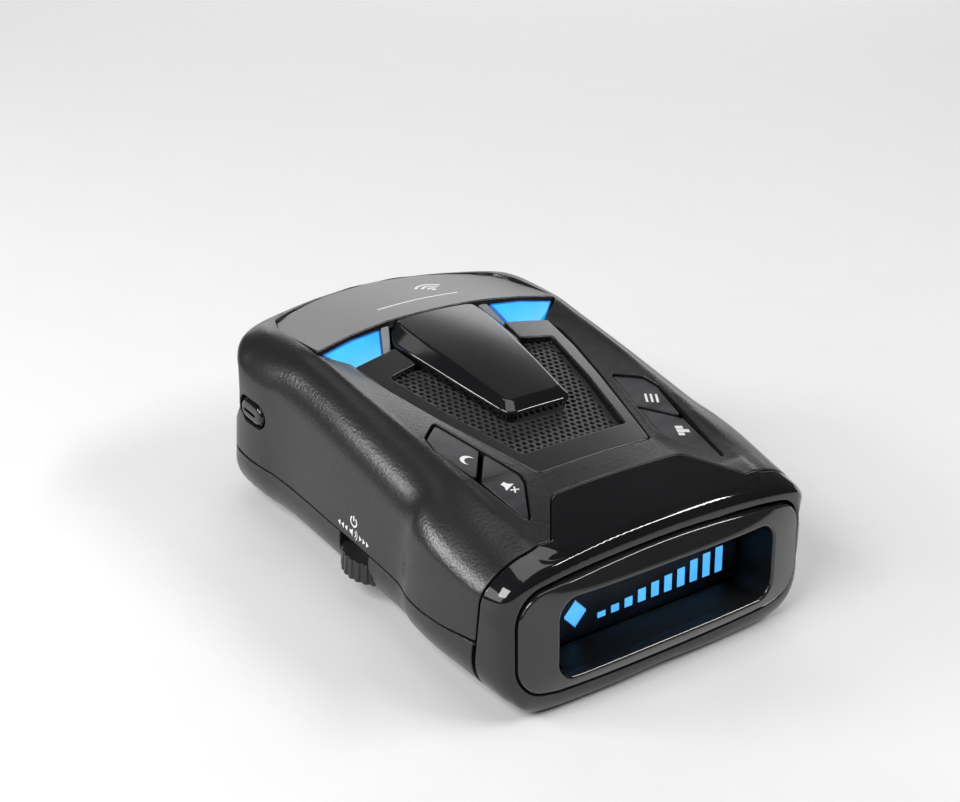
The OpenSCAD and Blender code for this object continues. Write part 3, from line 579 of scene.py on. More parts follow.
def panel(surf, loops, depth, lip=0.25, spacing=1.2, steps=None, lip_of=None, way=None,
          zone_of=None, lip_zone=0):
    """A curved sheet with rounded edges. loops[0] is the outside; the others are holes.
    steps[i] are (move outward, depth) rings that loop i takes after its rounded lip."""
    b = Build()
    steps, lip_of, zone_of = steps or {}, lip_of or {}, zone_of or {}
    fill_gap = spacing * 0.55
    loops = [l if (area_of(l) > 0) == (i == 0) else l[::-1] for i, l in enumerate(loops)]
    lips = [lip_of.get(i, lip) for i in range(len(loops))]
    insets = [l + (grown(l, -1.0) - l) * r for l, r in zip(loops, lips)]
    fill = surf.candidates(spacing)
    fill = fill[inside(fill, insets)]
    fill = clear_of(fill, insets, fill_gap)
    pts, tris, back = triangulated(insets, fill)
    pos, nrm = surf.at(pts)
    top = b.add(pos)
    b.faces(top[tris], nrm[tris])
    lasts, base = [], 0
    for i, loop in enumerate(loops):
        k = len(loop)
        ids = np.array([back[base + j] for j in range(k)])
        base += k
        p0, n0 = pos[ids], nrm[ids]
        tangent = np.roll(p0, -1, 0) - np.roll(p0, 1, 0)
        out = unit(np.cross(tangent, n0))
        r = lips[i]
        down = n0 if way is None else np.broadcast_to(-np.asarray(way, float), n0.shape)
        ring, rn = top[ids], n0
        b.zone = lip_zone
        for a in (28, 60, 90):
            a = math.radians(a)
            p = p0 - n0 * r * (1 - math.cos(a)) + out * r * math.sin(a)
            n = n0 * math.cos(a) + out * math.sin(a)
            new = b.add(p)
            b.strip(ring, new, rn, n, True)
            ring, rn, at = new, n, p
        b.zone = zone_of.get(i, b.zone)
        for move, dep in steps.get(i, [(0, depth)]):
            d = dep(p0) if callable(dep) else np.full(len(p0), float(dep))
            p = p0 + out * (r + move) - down * d[:, None]
            side = unit(np.cross(tangent, p - at))
            side = np.where(np.sum(side * out, 1)[:, None] < -0.2, -side, side) if move == 0 else side
            new = b.add(p)
            b.strip(ring, new, side, side, True)
            ring, at = new, p
        lasts.append(ring)
    # the back face closes the solid
    b.zone = 0
    flat = []
    for i, loop in enumerate(loops):
        move = steps.get(i, [(0, depth)])[-1][0]
        flat.append(loop + (grown(loop, 1.0) - loop) * move if move else loop)
    bf = clear_of(fill, flat, fill_gap)
    bf = bf[inside(bf, flat)]
    pts, tris, back = triangulated(flat, bf)
    pos, nrm = surf.at(pts)
    down = nrm if way is None else np.broadcast_to(-np.asarray(way, float), nrm.shape)
    ids = b.add(pos - down * depth)
    base = 0
    for ring, loop in zip(lasts, flat):
        for j in range(len(loop)):
            ids[back[base + j]] = ring[j]
        base += len(loop)
    b.faces(ids[tris][:, ::-1], -nrm[tris][:, ::-1])
    return b


# ---- Casing ----------------------------------------------------------------------------------
REVEAL = 0.15
BEZEL_Y = 5.6
SEAM_Y = (-10, 6, 9, 12, 15, 19, 24, 120)
SEAM_Z = tuple(11.6 + 2.1 * k for k in (1.1, 1, 0.75, 0.45, 0.22, 0.07, 0, 0))


def seam(y):
    return np.interp(y, SEAM_Y, SEAM_Z)


def sided(points, side):
    """Points of the right side, on side 1 (right) or -1 (left)."""
    return [[side * p[0], p[1]] for p in points]


def both_sides(points):
    return [list(p) for p in points] + sided(points[::-1], -1)


PLATE_SIDE = [[12.7, 20.8], [15.6, 31], [18.7, 42], [21.4, 53]]
OPENING_SIDE = [[11.7, 26.6], [16.2, 43], [19.1, 57.5], [12.1, 59.0]]
DECK_SIDE = [[10.3, 71.2], [20, 69.9], [28, 68.2], [27.9, 76], [27.5, 83.6], [26.2, 86.7],
             [21.9, 88.9], [12, 91.9]]
REAR_MIDDLE = [0, 93]
KEY_BACK = [[20.4, 41.4], [17.6, 31], [23.6, 23.6], [26, 33.6], [25.3, 37.2]]
KEY_FRONT = [[17.5, 30.7], [15.6, 22.4], [16.2, 19.9], [22.3, 10.2], [23.5, 23.3]]
KEY_PAIR = [[20.4, 41.4], [15.6, 22.4], [16.2, 19.9], [22.3, 10.2], [26, 33.6], [25.3, 37.2]]
HOOD = [[21.7, 5.9], [15.2, 14.2], [13.8, 15]]

caps, sides = cap_rings(), side_rings()
top_skin = Skin(caps + sides, len(caps))
under = []
for s in (0.02, 0.08, 0.16, 0.24, 0.32):
    x, y = inward(OUT[:, 0], OUT[:, 1], OUT[:, 6])
    under.append(leaned(x * s, CENTRE[1] + (y - CENTRE[1]) * s, np.zeros(len(OUT))))
# the lower half leaves out the upper rings of the shoulder
SHOULDER_LEFT_OUT, FLAT_RINGS = 21, 6
low_skin = Skin(under + sides[::-1][:-SHOULDER_LEFT_OUT], len(under) + FLAT_RINGS)


def from_above(points):
    return np.array([top_skin.hit((p[0], p[1], 90), (0, 0, -1)) for p in points])


def from_below(points):
    return np.array([low_skin.hit((p[0], p[1], -20), (0, 0, 1)) for p in points])


def from_left(skin, points):
    return np.array([skin.hit((-90, p[0], p[1]), (1, 0, 0)) for p in points])


def from_behind(skin, points):
    return np.array([skin.hit((p[0], 140, p[1]), (0, -1, 0)) for p in points])


def outline(points, radius, grow=0.0, step=1.0, thin=0.25):
    """A top outline: its corners rounded, made larger by grow, and spaced."""
    loop = filleted(points, radius)
    if area_of(loop) < 0:
        loop = loop[::-1]
    return thinned(spaced(grown(loop, grow), step), thin)


def seam_line(skin, gap, y_from):
    """The parting line from the right front round the rear to the left front."""
    out = []
    for j in range(skin.p.shape[1]):
        p = skin.p[:, j]
        f = p[:, 2] - seam(p[:, 1]) - gap
        k = np.where((f[:-1] * f[1:] <= 0) & (p[:-1, 2] < 30) & (p[:-1, 2] > 0.5))[0]
        if not len(k) or p[k[0], 1] < y_from:
            continue
        k = k[0]
        t = f[k] / (f[k] - f[k + 1])
        out.append(skin.plane[k, j] * (1 - t) + skin.plane[k + 1, j] * t)
    return out


RING_Z = 14


def ring_at(skin, y, start, end):
    """Where the skin meets the plane at y, between two directions in degrees seen from the front."""
    n = max(2, int(abs(end - start) / 1.6))
    out = []
    for a in np.linspace(start, end, n):
        c, s = math.cos(math.radians(a)), math.sin(math.radians(a))
        out.append(skin.hit((90 * c, y, RING_Z + 90 * s), (-c, 0, -s)))
    return out


def angle_at(x, z):
    """The direction in which ring_at meets a point, in degrees."""
    return math.degrees(math.atan2(z - RING_Z, x))


hood_line = filleted(both_sides(HOOD), [0, 1.6, 1.2, 1.2, 1.6, 0])
HOOD_X, HOOD_Z, SIDE_X, SEAM_GAP = 21.7, 28.6, 35.4, 0.08


def hood_points(grow, y):
    loop = np.vstack([[-HOOD_X, y - 3], [HOOD_X, y - 3], hood_line])
    loop = grown(loop, grow)[2:]
    loop = loop[loop[:, 1] > y + 0.12]
    out = []
    for p, q in zip(loop[:-1], loop[1:]):
        k = max(1, int(np.linalg.norm(q - p) / 0.9))
        out.extend(p + (q - p) * t / k for t in range(k))
    return np.array(out + [loop[-1]])


# The upper half: outside edge, then the openings for the top pieces, keys, window and button.
y0 = BEZEL_Y + REVEAL
edge_angle = angle_at(HOOD_X + REVEAL, HOOD_Z)
low_angle = angle_at(SIDE_X, seam(y0) + SEAM_GAP)
outer = seam_line(top_skin, SEAM_GAP, y0 + 0.4)
left = ring_at(top_skin, y0, 180 - low_angle, 180 - edge_angle)
hood = from_above(hood_points(REVEAL, y0))
rightside = ring_at(top_skin, y0, edge_angle, low_angle)
outer = np.array(outer + left + list(hood[::-1]) + rightside)
TOP_SIDE = [[12.7, 20.8], [15.6, 31], [18.7, 42], [21.4, 53], [22.6, 59.5], [22.6, 62.6], [22.75, 64.6],
            [27.8, 67.9], [28, 69], [27.9, 76], [27.5, 83.6], [26.2, 86.7], [21.9, 88.9], [12, 91.9]]
top_hole = from_above(outline(sided(TOP_SIDE, -1) + [REAR_MIDDLE] + TOP_SIDE[::-1], 0.5, REVEAL))
key_holes = [from_above(outline(sided(KEY_PAIR, s), 0.9)) for s in (1, -1)]


def pill(length, width, n=9):
    a = (length - width) / 2
    arc = [math.radians(t) for t in np.linspace(-90, 90, n)]
    right_end = [(a + width / 2 * math.cos(t), width / 2 * math.sin(t)) for t in arc]
    return spaced(np.array(right_end + [(-p[0], -p[1]) for p in right_end]), 0.9)


BUTTON_Y, BUTTON_Z = 77.8, 22
button_hole = from_left(top_skin, pill(8.9, 5.1) + [BUTTON_Y, BUTTON_Z])


def rectangle(w, h, r):
    corners = [[-w / 2, -h / 2], [w / 2, -h / 2], [w / 2, h / 2], [-w / 2, h / 2]]
    return spaced(filleted(corners, r), 0.9)


WINDOW_Z = 21.5
window_hole = from_behind(top_skin, rectangle(40.4, 15.4, 0.5) + [0, WINDOW_Z])


def circle(x, y, z, r, n=20):
    a = np.arange(n) * 2 * math.pi / n
    return np.stack([x + r * np.cos(a), y + r * np.sin(a), np.full(n, float(z))], 1)


AROUND = circle(0, 0, 0, 1)
POST_X, POST_Y, POST_TOP = 28.4, (31.5, 81.5), (30.4, 33.7)
POST_FOOT, POST_R, BORE_R, BORE_DEPTH = 14.0, 2.3, 1.15, 9


def post(b, x, y, top):
    """A screw post with its bore, closed at the top."""
    rings = ((BORE_R, POST_FOOT + BORE_DEPTH), (BORE_R, POST_FOOT), (POST_R, POST_FOOT), (POST_R, top))
    ids = [b.add(circle(x, y, z, r)) for r, z in rings]
    downward = np.tile([0.0, 0, -1], (len(AROUND), 1))
    b.strip(ids[0], ids[1], -AROUND, -AROUND, True)
    b.strip(ids[1], ids[2], downward, downward, True)
    b.strip(ids[2], ids[3], AROUND, AROUND, True)
    b.face(ids[3], (0, 0, 1))
    b.face(ids[0][::-1], (0, 0, -1))


WALL = 1.7
holes = [top_hole, *key_holes, button_hole, window_hole]
b = panel(top_skin, [outer, *holes], WALL, lip=0.22, spacing=1.1)
for y, top in zip(POST_Y, POST_TOP):
    for s in (1, -1):
        post(b, s * POST_X, y, top)
b.make("casing_top", "shell_black", replaces=["upper_shell"], slot="shell_black")

# The front surround with its hood.
hood = from_above(hood_points(0, BEZEL_Y))
edge_angle = angle_at(HOOD_X, HOOD_Z)
surround = np.array(ring_at(top_skin, BEZEL_Y, -180 - edge_angle, edge_angle) + list(hood))
LEAN = math.radians(8)
FACE_Y = np.array([0, math.cos(LEAN), -math.sin(LEAN)])
FACE_Z = np.array([0, math.sin(LEAN), math.cos(LEAN)])


def face(x, w, v):
    """A point given across, behind and up the front face."""
    x, w, v = np.broadcast_arrays(np.asarray(x, float), w, v)
    return np.stack([x, -2.2 + w * FACE_Y[1] + v * FACE_Z[1], 3 + w * FACE_Y[2] + v * FACE_Z[2]], 1)


def depth_of(p):
    return (p - np.array([0, -2.2, 3])) @ FACE_Y


def hull(points):
    pts = sorted(map(tuple, points))

    def half(ps):
        h = []
        for p in ps:
            while len(h) > 1 and ((h[-1][0] - h[-2][0]) * (p[1] - h[-2][1])
                                  - (h[-1][1] - h[-2][1]) * (p[0] - h[-2][0])) <= 0:
                h.pop()
            h.append(p)
        return h[:-1]

    return np.array(half(pts) + half(pts[::-1]))


def disc(x, y, r, n=40):
    turns = [2 * math.pi * i / n for i in range(n)]
    return [(x + r * math.cos(t), y + r * math.sin(t)) for t in turns]


def panel_outline():
    pts = []
    for s in (1, -1):
        pts += disc(s * 26.1, 7.8, 5.8) + disc(s * 26.1, 15.1, 5.8)
    pts += [(x, 22.6 - x * x / 420) for x in range(-24, 25, 2)]
    pts += [(x, 0.9 + x * x / 900) for x in range(-24, 25, 2)]
    return hull(pts)


def window_outline():
    pts, r = [], 3.5
    for s in (1, -1):
        pts += disc(s * 20.9, 7.1, r) + disc(s * 20.9, 14.9, r)
    return hull(pts)


front_hole = []
for x, v in thinned(spaced(grown(panel_outline(), 0.12), 1.0), 0.3):
    o = face([x], -40, v)[0]
    front_hole.append(top_skin.hit(o, FACE_Y))
b = panel(top_skin, [surround, np.array(front_hole)], WALL, lip=0.22, lip_of={1: 0.55}, spacing=0.8)
b.make("front_surround", "gloss_black", replaces=["front_bezel"], slot="gloss_black")


def wheel_notch():
    """The notch for the volume wheel, seen from the left: down, along and up again."""
    lo, top, r = 4.4, 11.52, 0.6
    pts = [(47.75, z) for z in np.linspace(top, lo + r, 8)] + [(47.55, lo + 0.15)]
    pts += [(y, lo) for y in np.linspace(47.75 - r, 38.25 + r, 10)] + [(38.45, lo + 0.15)]
    return pts + [(38.25, z) for z in np.linspace(lo + r, top, 8)]


# The lower half.
outer = seam_line(low_skin, -SEAM_GAP, y0 + 0.4)
notch = list(from_left(low_skin, wheel_notch()))
side_x = [low_skin.at([q])[0][0] for q in outer]
first = next(i for i, p in enumerate(side_x) if p[0] < 0 and p[1] < 47.75)
last = next(i for i, p in enumerate(side_x) if p[0] < 0 and p[1] < 38.25)
outer = outer[:first] + notch + outer[last:]
low_angle = angle_at(SIDE_X, seam(y0) - SEAM_GAP)
lower = ring_at(low_skin, y0, 180 - low_angle, 360 + low_angle)
outer = np.array(outer + lower)
SLOT_Z, JACK_Y, JACK_Z, LABEL_Y = 7.5, 58, 8, 43
slot_hole = from_behind(low_skin, rectangle(22, 4.6, 0.6) + [0, SLOT_Z])
jack_hole = np.array([low_skin.hit((90, *p), (-1, 0, 0)) for p in disc(JACK_Y, JACK_Z, 3, 28)])
screw_holes = [from_below(disc(x, y, 2.4, 20)) for x in (POST_X, -POST_X) for y in POST_Y]
label_hole = from_below(rectangle(27.6, 25.6, 0.4) + [0, LABEL_Y])
b = panel(low_skin, [outer, slot_hole, jack_hole, *screw_holes, label_hole], WALL, lip=0.22, spacing=1.3)
b.make("casing_base", "shell_black", replaces=["lower_shell"], slot="shell_black")


# ---- Top pieces ------------------------------------------------------------------------------
plate = Sheet(lambda x, y: np.stack([x, y, plate_top(x, y)], 1))
plate_side = PLATE_SIDE + [[22.9, 63.5], [12.9, 65.3]] + OPENING_SIDE[::-1]
radii = [0.5, 0, 0, 0, 1.2, 0.5, 0.3, 0.3, 0.6, 0.8, 0, 0.8]
plate_out = outline(sided(plate_side[::-1], -1) + plate_side, radii[::-1] + radii)
b = panel(plate, [plate_out], 1.6, lip=0.34, zone_of={0: 1})
b.make("centre_trim", "satin_black gloss_black", replaces=["centre_plate"], slot="satin_black")


def deck_height(x, y):
    s = math.atan(-0.13)
    z = 38.6 + (y - 71.5) * math.tan(s)
    return z - x * x / (2 * 185) / math.cos(s)


deck = Sheet(lambda x, y: np.stack([x, y, deck_height(x, y)], 1))
deck_out = outline(sided(DECK_SIDE, -1) + [REAR_MIDDLE] + DECK_SIDE[::-1], 0.5)
b = panel(deck, [deck_out], 1.6, lip=0.3)
b.make("rear_deck", "satin_black", replaces=["deck_cover"], slot="gloss_black")


def softened(ob, width, body, replaces, angle):
    mod = ob.modifiers.new("edges", "BEVEL")
    mod.width = width / 1000
    mod.segments = 3
    mod.limit_method = "ANGLE"
    mod.angle_limit = math.radians(angle)
    mod.harden_normals = True
    ob.data.polygons.foreach_set("use_smooth", [True] * len(ob.data.polygons))
    mod = ob.modifiers.new("weighted", "WEIGHTED_NORMAL")
    mod.keep_sharp = True
    bake_modifiers(ob)
    return tagged(ob, body, replaces)


def bake_modifiers(ob):
    graph = bpy.context.evaluated_depsgraph_get()
    mesh = bpy.data.meshes.new_from_object(ob.evaluated_get(graph), preserve_all_data_layers=True,
                                           depsgraph=graph)
    old = ob.data
    ob.modifiers.clear()
    ob.data = mesh
    bpy.data.meshes.remove(old)


def hump_height(x, y):
    t = y - 38.7
    return 34.85 + 0.165 * t - 0.00172 * t * t - 0.004 * x * x


def along(points, n):
    """n + 1 points evenly along an open line."""
    a = np.asarray(points, float)
    d = np.concatenate([[0], np.cumsum(np.linalg.norm(np.diff(a, axis=0), axis=1))])
    t = np.linspace(0, d[-1], n + 1)
    return np.stack([np.interp(t, d, a[:, k]) for k in range(a.shape[1])], 1)


def hump_ring(side):
    """A closed ring from the front middle, along the right side, across the rear and back."""
    side = np.asarray(side, float)
    mirror = side * [-1, 1, 1]
    front, rear_n, side_n = along([mirror[0], side[0]], 12), 18, 34
    run = np.vstack([front[6:-1], along(side, side_n)[:-1], along([side[-1], mirror[-1]], rear_n)[:-1],
                     along(mirror[::-1], side_n)[:-1], front[:6]])
    for _ in range(3):
        run = (np.roll(run, 1, 0) + 2 * run + np.roll(run, -1, 0)) / 4
    return run


def hump():
    """The cover over the aerial: a crowned top, sloping cheeks and a low skirt, edges rounded."""
    top = hump_ring([[6.3, 38.7, 0], [7.7, 50, 0], [9.1, 63, 0], [9.3, 71.3, 0]])
    top[:, 2] = hump_height(top[:, 0], top[:, 1])
    brow = hump_ring([[7.4, 36.6, 33.3], [9.2, 47, 34.0], [10.9, 56, 35.1], [12.4, 66.9, 35.75],
                      [9.9, 71.3, 36.6]])
    foot = hump_ring([[6.9, 37.1, 31.05], [8.7, 47.4, 32.25], [10.5, 56.2, 33.2], [12.2, 66.7, 34.25],
                      [9.8, 71.3, 34.85]])
    r = 0.42
    cheek, skirt = unit(brow - top), unit(foot - brow)
    tangent = unit(np.roll(top, -1, 0) - np.roll(top, 1, 0))
    n_cheek = unit(np.cross(tangent, -cheek) * -1)
    n_cheek *= np.where(np.sum(n_cheek * (top - top.mean(0)), 1) < 0, -1, 1)[:, None]
    n_skirt = unit(np.cross(tangent, skirt))
    n_skirt *= np.where(np.sum(n_skirt * (top - top.mean(0)), 1) < 0, -1, 1)[:, None]
    loop = top[:, :2]
    inner = grown(loop, -r * 0.9)
    surf = Sheet(lambda x, y: np.stack([x, y, hump_height(x, y)], 1))
    fill = surf.candidates(1.2, (-12, 36), (12, 73))
    fill = clear_of(fill[inside(fill, [inner])], [inner], 0.6)
    pts, tris, back = triangulated([inner], fill)
    pos, nrm = surf.at(pts)
    b = Build()
    ids = b.add(pos)
    b.faces(ids[tris], nrm[tris])
    first = np.array([back[i] for i in range(len(loop))])
    ring, rn = ids[first], nrm[first]
    p0 = pos[first]
    b.zone = 1

    def bend(corner, d0, d1, n0, n1):
        out = []
        for t in (0.25, 0.5, 0.75):
            p = (1 - t) ** 2 * (corner - d0 * r) + 2 * t * (1 - t) * corner + t * t * (corner + d1 * r)
            out.append((p, unit(n0 * (1 - t) + n1 * t)))
        return out

    lean_in = unit(top - p0)
    rows = bend(top, lean_in, cheek, rn, n_cheek) + [(top + cheek * r, n_cheek)]
    rows += [(brow - cheek * r, n_cheek)] + bend(brow, cheek, skirt, n_cheek, n_skirt)
    rows += [(brow + skirt * r, n_skirt), (foot, n_skirt)]
    for p, n in rows:
        new = b.add(p)
        b.strip(ring, new, rn, n, True)
        ring, rn = new, n
    # the inside, a wall's thickness in, closes the shell
    within = foot.copy()
    within[:, :2] = grown(foot[:, :2], -1.5)
    lid = within.copy()
    lid[:, 2] = brow[:, 2] - 0.8
    for p, n in ((within, np.tile([0.0, 0, -1], (len(foot), 1))), (lid, -n_skirt)):
        new = b.add(p)
        b.strip(ring, new, n, n, True)
        ring = new
    b.face(ring[::-1], (0, 0, -1))
    b.make("hump", "hump_black gloss_black", replaces=["deck_cover"], slot="gloss_black")


hump()


# ---- Keys ------------------------------------------------------------------------------------
key_top = Sheet(lambda x, y: np.stack([x, y, top_z(x, y) - 0.35], 1))


STEM_FOOT, STEM_R, KEY_THICK = 13.8 + 3.5 + 0.6 + 0.05, 1.3, 1.3


def key(name, side, points, stem, node):
    b = panel(key_top, [outline(sided(points, side), 0.7, -0.3)], KEY_THICK, lip=0.28)
    x, y = side * stem[0], stem[1]
    top = float(top_z(np.array([x]), np.array([y]))[0]) - KEY_THICK
    ids = [b.add(circle(x, y, z, STEM_R)) for z in (STEM_FOOT, top)]
    b.strip(ids[0], ids[1], AROUND, AROUND, True)
    b.face(ids[1], (0, 0, 1))
    b.face(ids[0][::-1], (0, 0, -1))
    return b.make(name, "key_grey", body=node, replaces=[node], slot="key_grey")


for side, tag in ((-1, ("dark_key", "quiet_key")), (1, ("menu_key", "city_key"))):
    key(tag[0] + "_cap", side, KEY_BACK, (21.9, 33.4), tag[0])
    key(tag[1] + "_cap", side, KEY_FRONT, (19.4, 20.4), tag[1])


# ---- Front panel and display -----------------------------------------------------------------
def bulge(x, v):
    return 0.1 - 2.37 * (1 - (x / 32) ** 4) * (1 - ((v - 11.8) / 11.6) ** 4)


front = Sheet(lambda x, v: face(x, bulge(x, v), v))
rim = thinned(spaced(panel_outline(), 1.0), 0.3)
opening = thinned(spaced(window_outline(), 0.9), 0.3)
TUNNEL_BACK = 6.98


def to_tunnel_back(p):
    return TUNNEL_BACK - depth_of(p)


b = panel(front, [rim, opening], 2.0, lip=0.5, lip_of={1: 0.55}, way=FACE_Y, zone_of={1: 1},
          steps={0: [(0, 2.0)],
                 1: [(0, to_tunnel_back), (-1.0, to_tunnel_back), (-1.0, 2.0)]})
shelf = Sheet(lambda x, w: face(x, w, 3.75 + (w - 1) * 0.75 / 6))
shelf_out = spaced(np.array([[-21.2, 0.2], [21.2, 0.2], [21.2, 6.9], [-21.2, 6.9]]), 1.0)
b.make("front_fascia", "panel_grey recess_black", replaces=["front_panel"], slot="panel_grey")
b = panel(shelf, [shelf_out], 1.0, lip=0.2)
b.make("display_shelf", "recess_black", replaces=["front_panel"], slot="panel_grey")


READOUT_BEHIND, READOUT_THICK = 8.005, 0.013


def bar(b, x0, v0, x1, v1):
    """A thin raised rectangle on the display."""
    front_pts = face([x0, x1, x1, x0], READOUT_BEHIND, [v0, v0, v1, v1])
    back_pts = face([x0, x1, x1, x0], READOUT_BEHIND + READOUT_THICK, [v0, v0, v1, v1])
    f, k = b.add(front_pts), b.add(back_pts)
    b.faces([f[[0, 1, 2, 3]]], [np.tile(-FACE_Y, (4, 1))])
    b.faces([k[[3, 2, 1, 0]]], [np.tile(FACE_Y, (4, 1))])
    for i in range(4):
        j = (i + 1) % 4
        n = unit(np.cross(front_pts[j] - front_pts[i], FACE_Y)[None])[0]
        b.faces([np.array([f[j], f[i], k[i], k[j]])], [np.tile(-n, (4, 1))])


# ---- Speaker grille --------------------------------------------------------------------------
GRILLE_SIDE = [[11.6, 26.7], [16.1, 43], [19.5, 57.2], [19.1, 59.1]]
mesh_face = Sheet(lambda x, y: np.stack([x, y, plate_top(0, y) - 1.92], 1))
PITCH, HOLE = 1.42, 0.5
mesh_holes = []
for j in range(40):
    for i in range(-16, 17):
        x, y = (i + (j % 2) / 2) * PITCH, 27.4 + j * PITCH * 0.866
        if not 27 < y < 58.4 or abs(x) > 11.6 + (y - 26.7) * 0.262 - 0.75:
            continue
        if y > 36.2 and abs(x) < 6.2 + (y - 36.4) * 0.2:
            continue
        mesh_holes.append(np.array(disc(x, y, HOLE, 10)))
mesh_edge = spaced(np.array(both_sides(GRILLE_SIDE)), 1.2)
b = panel(mesh_face, [mesh_edge] + mesh_holes, 0.8, lip=0.07, spacing=1.5)
b.make("grille_mesh", "grille_grey", replaces=["speaker_grille"], slot="grille_grey")


# ---- Display read-out: a diamond built up in rows and a plain level meter ----------------------
READOUT_FOOT, READOUT_ROWS, DOT = 6.28, 14, 0.36
DIAMOND_AT, METER_FROM, METER_STEP, METER_BARS, BAR_WIDTH = -13.6, -8.6, 3.1, 10, 1.8
b = Build()
for row in range(READOUT_ROWS):
    reach = (READOUT_ROWS / 2 - abs(row - (READOUT_ROWS - 1) / 2)) * DOT
    v = READOUT_FOOT + row * DOT
    bar(b, DIAMOND_AT - reach, v, DIAMOND_AT + reach, v + DOT)
for k in range(METER_BARS):
    x0 = METER_FROM + k * METER_STEP
    tall = round(3 + k * (READOUT_ROWS - 3) / (METER_BARS - 1)) * DOT
    bar(b, x0, READOUT_FOOT, x0 + BAR_WIDTH, READOUT_FOOT + tall)
b.make("display_readout", "display_glow", slot="display_glass")


# ---- Printed marks ---------------------------------------------------------------------------
def on_key(x, y):
    return np.stack([x, y, top_z(x, y) - 0.335], 1)


def on_deck(x, y):
    return np.stack([x, y, deck_height(x, y) + 0.012], 1)


def printed(b, f, shape, at, turn=0.0, size=1.0):
    """One flat printed shape, a closed outline in its own units, laid on the surface f."""
    c, s = math.cos(math.radians(turn)), math.sin(math.radians(turn))
    p = np.asarray(shape, float) * size
    if area_of(p) < 0:
        p = p[::-1]
    p = spaced(p, 0.35)
    q = np.stack([at[0] + p[:, 0] * c - p[:, 1] * s, at[1] + p[:, 0] * s + p[:, 1] * c], 1)
    pts, tris, _ = triangulated([q], np.zeros((0, 2)))
    surf = Sheet(f)
    pos, nrm = surf.at(pts)
    top, low = b.add(pos), b.add(pos - nrm * 0.03)
    b.faces(top[tris], nrm[tris])
    b.faces(low[tris][:, ::-1], -nrm[tris])


def stroke(points, w):
    """The outline of a line of width w through some points."""
    a = np.asarray(points, float)
    d = np.gradient(a, axis=0)
    n = unit(np.stack([-d[:, 1], d[:, 0]], 1)) * w / 2
    return np.vstack([a + n, (a - n)[::-1]])


def arc(r, a0, a1, n=14, cx=0.0, cy=0.0):
    t = np.radians(np.linspace(a0, a1, n))
    return np.stack([cx + r * np.cos(t), cy + r * np.sin(t)], 1)


MOON = np.vstack([arc(1, 60, 300, 16), arc(0.85, 285, 75, 14, 0.45, 0)])
SPEAKER = [[-1, -0.4], [-0.45, -0.4], [0.15, -0.95], [0.15, 0.95], [-0.45, 0.4], [-1, 0.4]]
MARKS = {
    "dark_key": [MOON],
    "quiet_key": [SPEAKER, stroke([[0.45, -0.5], [1.2, 0.5]], 0.2),
                  stroke([[0.45, 0.5], [1.2, -0.5]], 0.2)],
    "menu_key": [stroke([[-1, v], [1, v]], 0.34) for v in (-0.75, 0, 0.75)],
    "city_key": [[[-1, -0.8], [-0.35, -0.8], [-0.35, 0.3], [-1, 0.3]],
                 [[-0.25, -0.8], [0.4, -0.8], [0.4, 1], [-0.25, 1]],
                 [[0.5, -0.8], [1.1, -0.8], [1.1, 0.1], [0.5, 0.1]]],
}
for node, (x, y), turn in (("dark_key", (-21.7, 29.3), -58), ("quiet_key", (-19.6, 20.2), -66),
                           ("menu_key", (22.2, 31.2), 58 + 180), ("city_key", (20.4, 20.6), 66 + 180)):
    b = Build()
    for shape in MARKS[node]:
        printed(b, on_key, shape, (x, y), turn, 1.35)
    b.make(node + "_mark", "print_white", body=node, slot="key_grey")

b = Build()
for r in (1.0, 2.1, 3.2):
    printed(b, on_deck, stroke(arc(r, 35, 145, 20), 0.5), (7.4, 81.6), 0, 1.15)
printed(b, on_deck, arc(0.42, 0, 345, 18), (7.4, 81.6), 0, 1.15)
printed(b, on_deck, stroke([[-9.6, 0], [0, 0.4], [9.6, 0]], 0.45), (0.8, 77.6), 0, 1.0)
b.make("deck_mark", "print_white", slot="label_silver")


def on_left(y, z):
    pos = []
    for a, c in zip(y, z):
        loc = top_skin.solid.ray_cast(Vector((-90, a, c)), Vector((1, 0, 0)))[0]
        pos.append((loc.x - 0.012, loc.y, loc.z))
    return np.array(pos)


def left_mark(b, shape, at, size):
    """A printed shape on the left side, drawn as it is seen from the left."""
    p = np.asarray(shape, float) * size
    p = np.stack([at[0] - p[:, 0], at[1] + p[:, 1]], 1)
    if area_of(p) > 0:
        p = p[::-1]
    p = spaced(p, 0.4)
    pts, tris, _ = triangulated([p], np.zeros((0, 2)))
    pos = on_left(pts[:, 0], pts[:, 1])
    nrm = np.tile([-1.0, 0, 0], (len(pts), 1))
    top, low = b.add(pos), b.add(pos + [0.03, 0, 0])
    b.faces(top[tris][:, ::-1], nrm[tris])
    b.faces(low[tris], -nrm[tris])


b = Build()
for k in range(3):
    tip = [[-0.55, 0], [0.45, 0.75], [0.45, -0.75]]
    left_mark(b, tip, (47.9 - k * 1.15, 13.5), 0.8)
    left_mark(b, sided(tip, -1), (38.7 + k * 1.15, 13.5), 0.8)
left_mark(b, SPEAKER, (43.6, 13.5), 0.85)
left_mark(b, stroke(arc(0.9, -50, 50, 8), 0.24), (43.3, 13.5), 0.85)
left_mark(b, stroke(arc(1.5, -50, 50, 8), 0.24), (43.3, 13.5), 0.85)
left_mark(b, stroke(arc(1, 125, 415, 22), 0.34), (43.3, 15.9), 0.95)
left_mark(b, stroke([[0, 0.1], [0, 1.25]], 0.34), (43.3, 15.9), 0.95)
b.make("wheel_mark", "print_white", slot="label_silver")


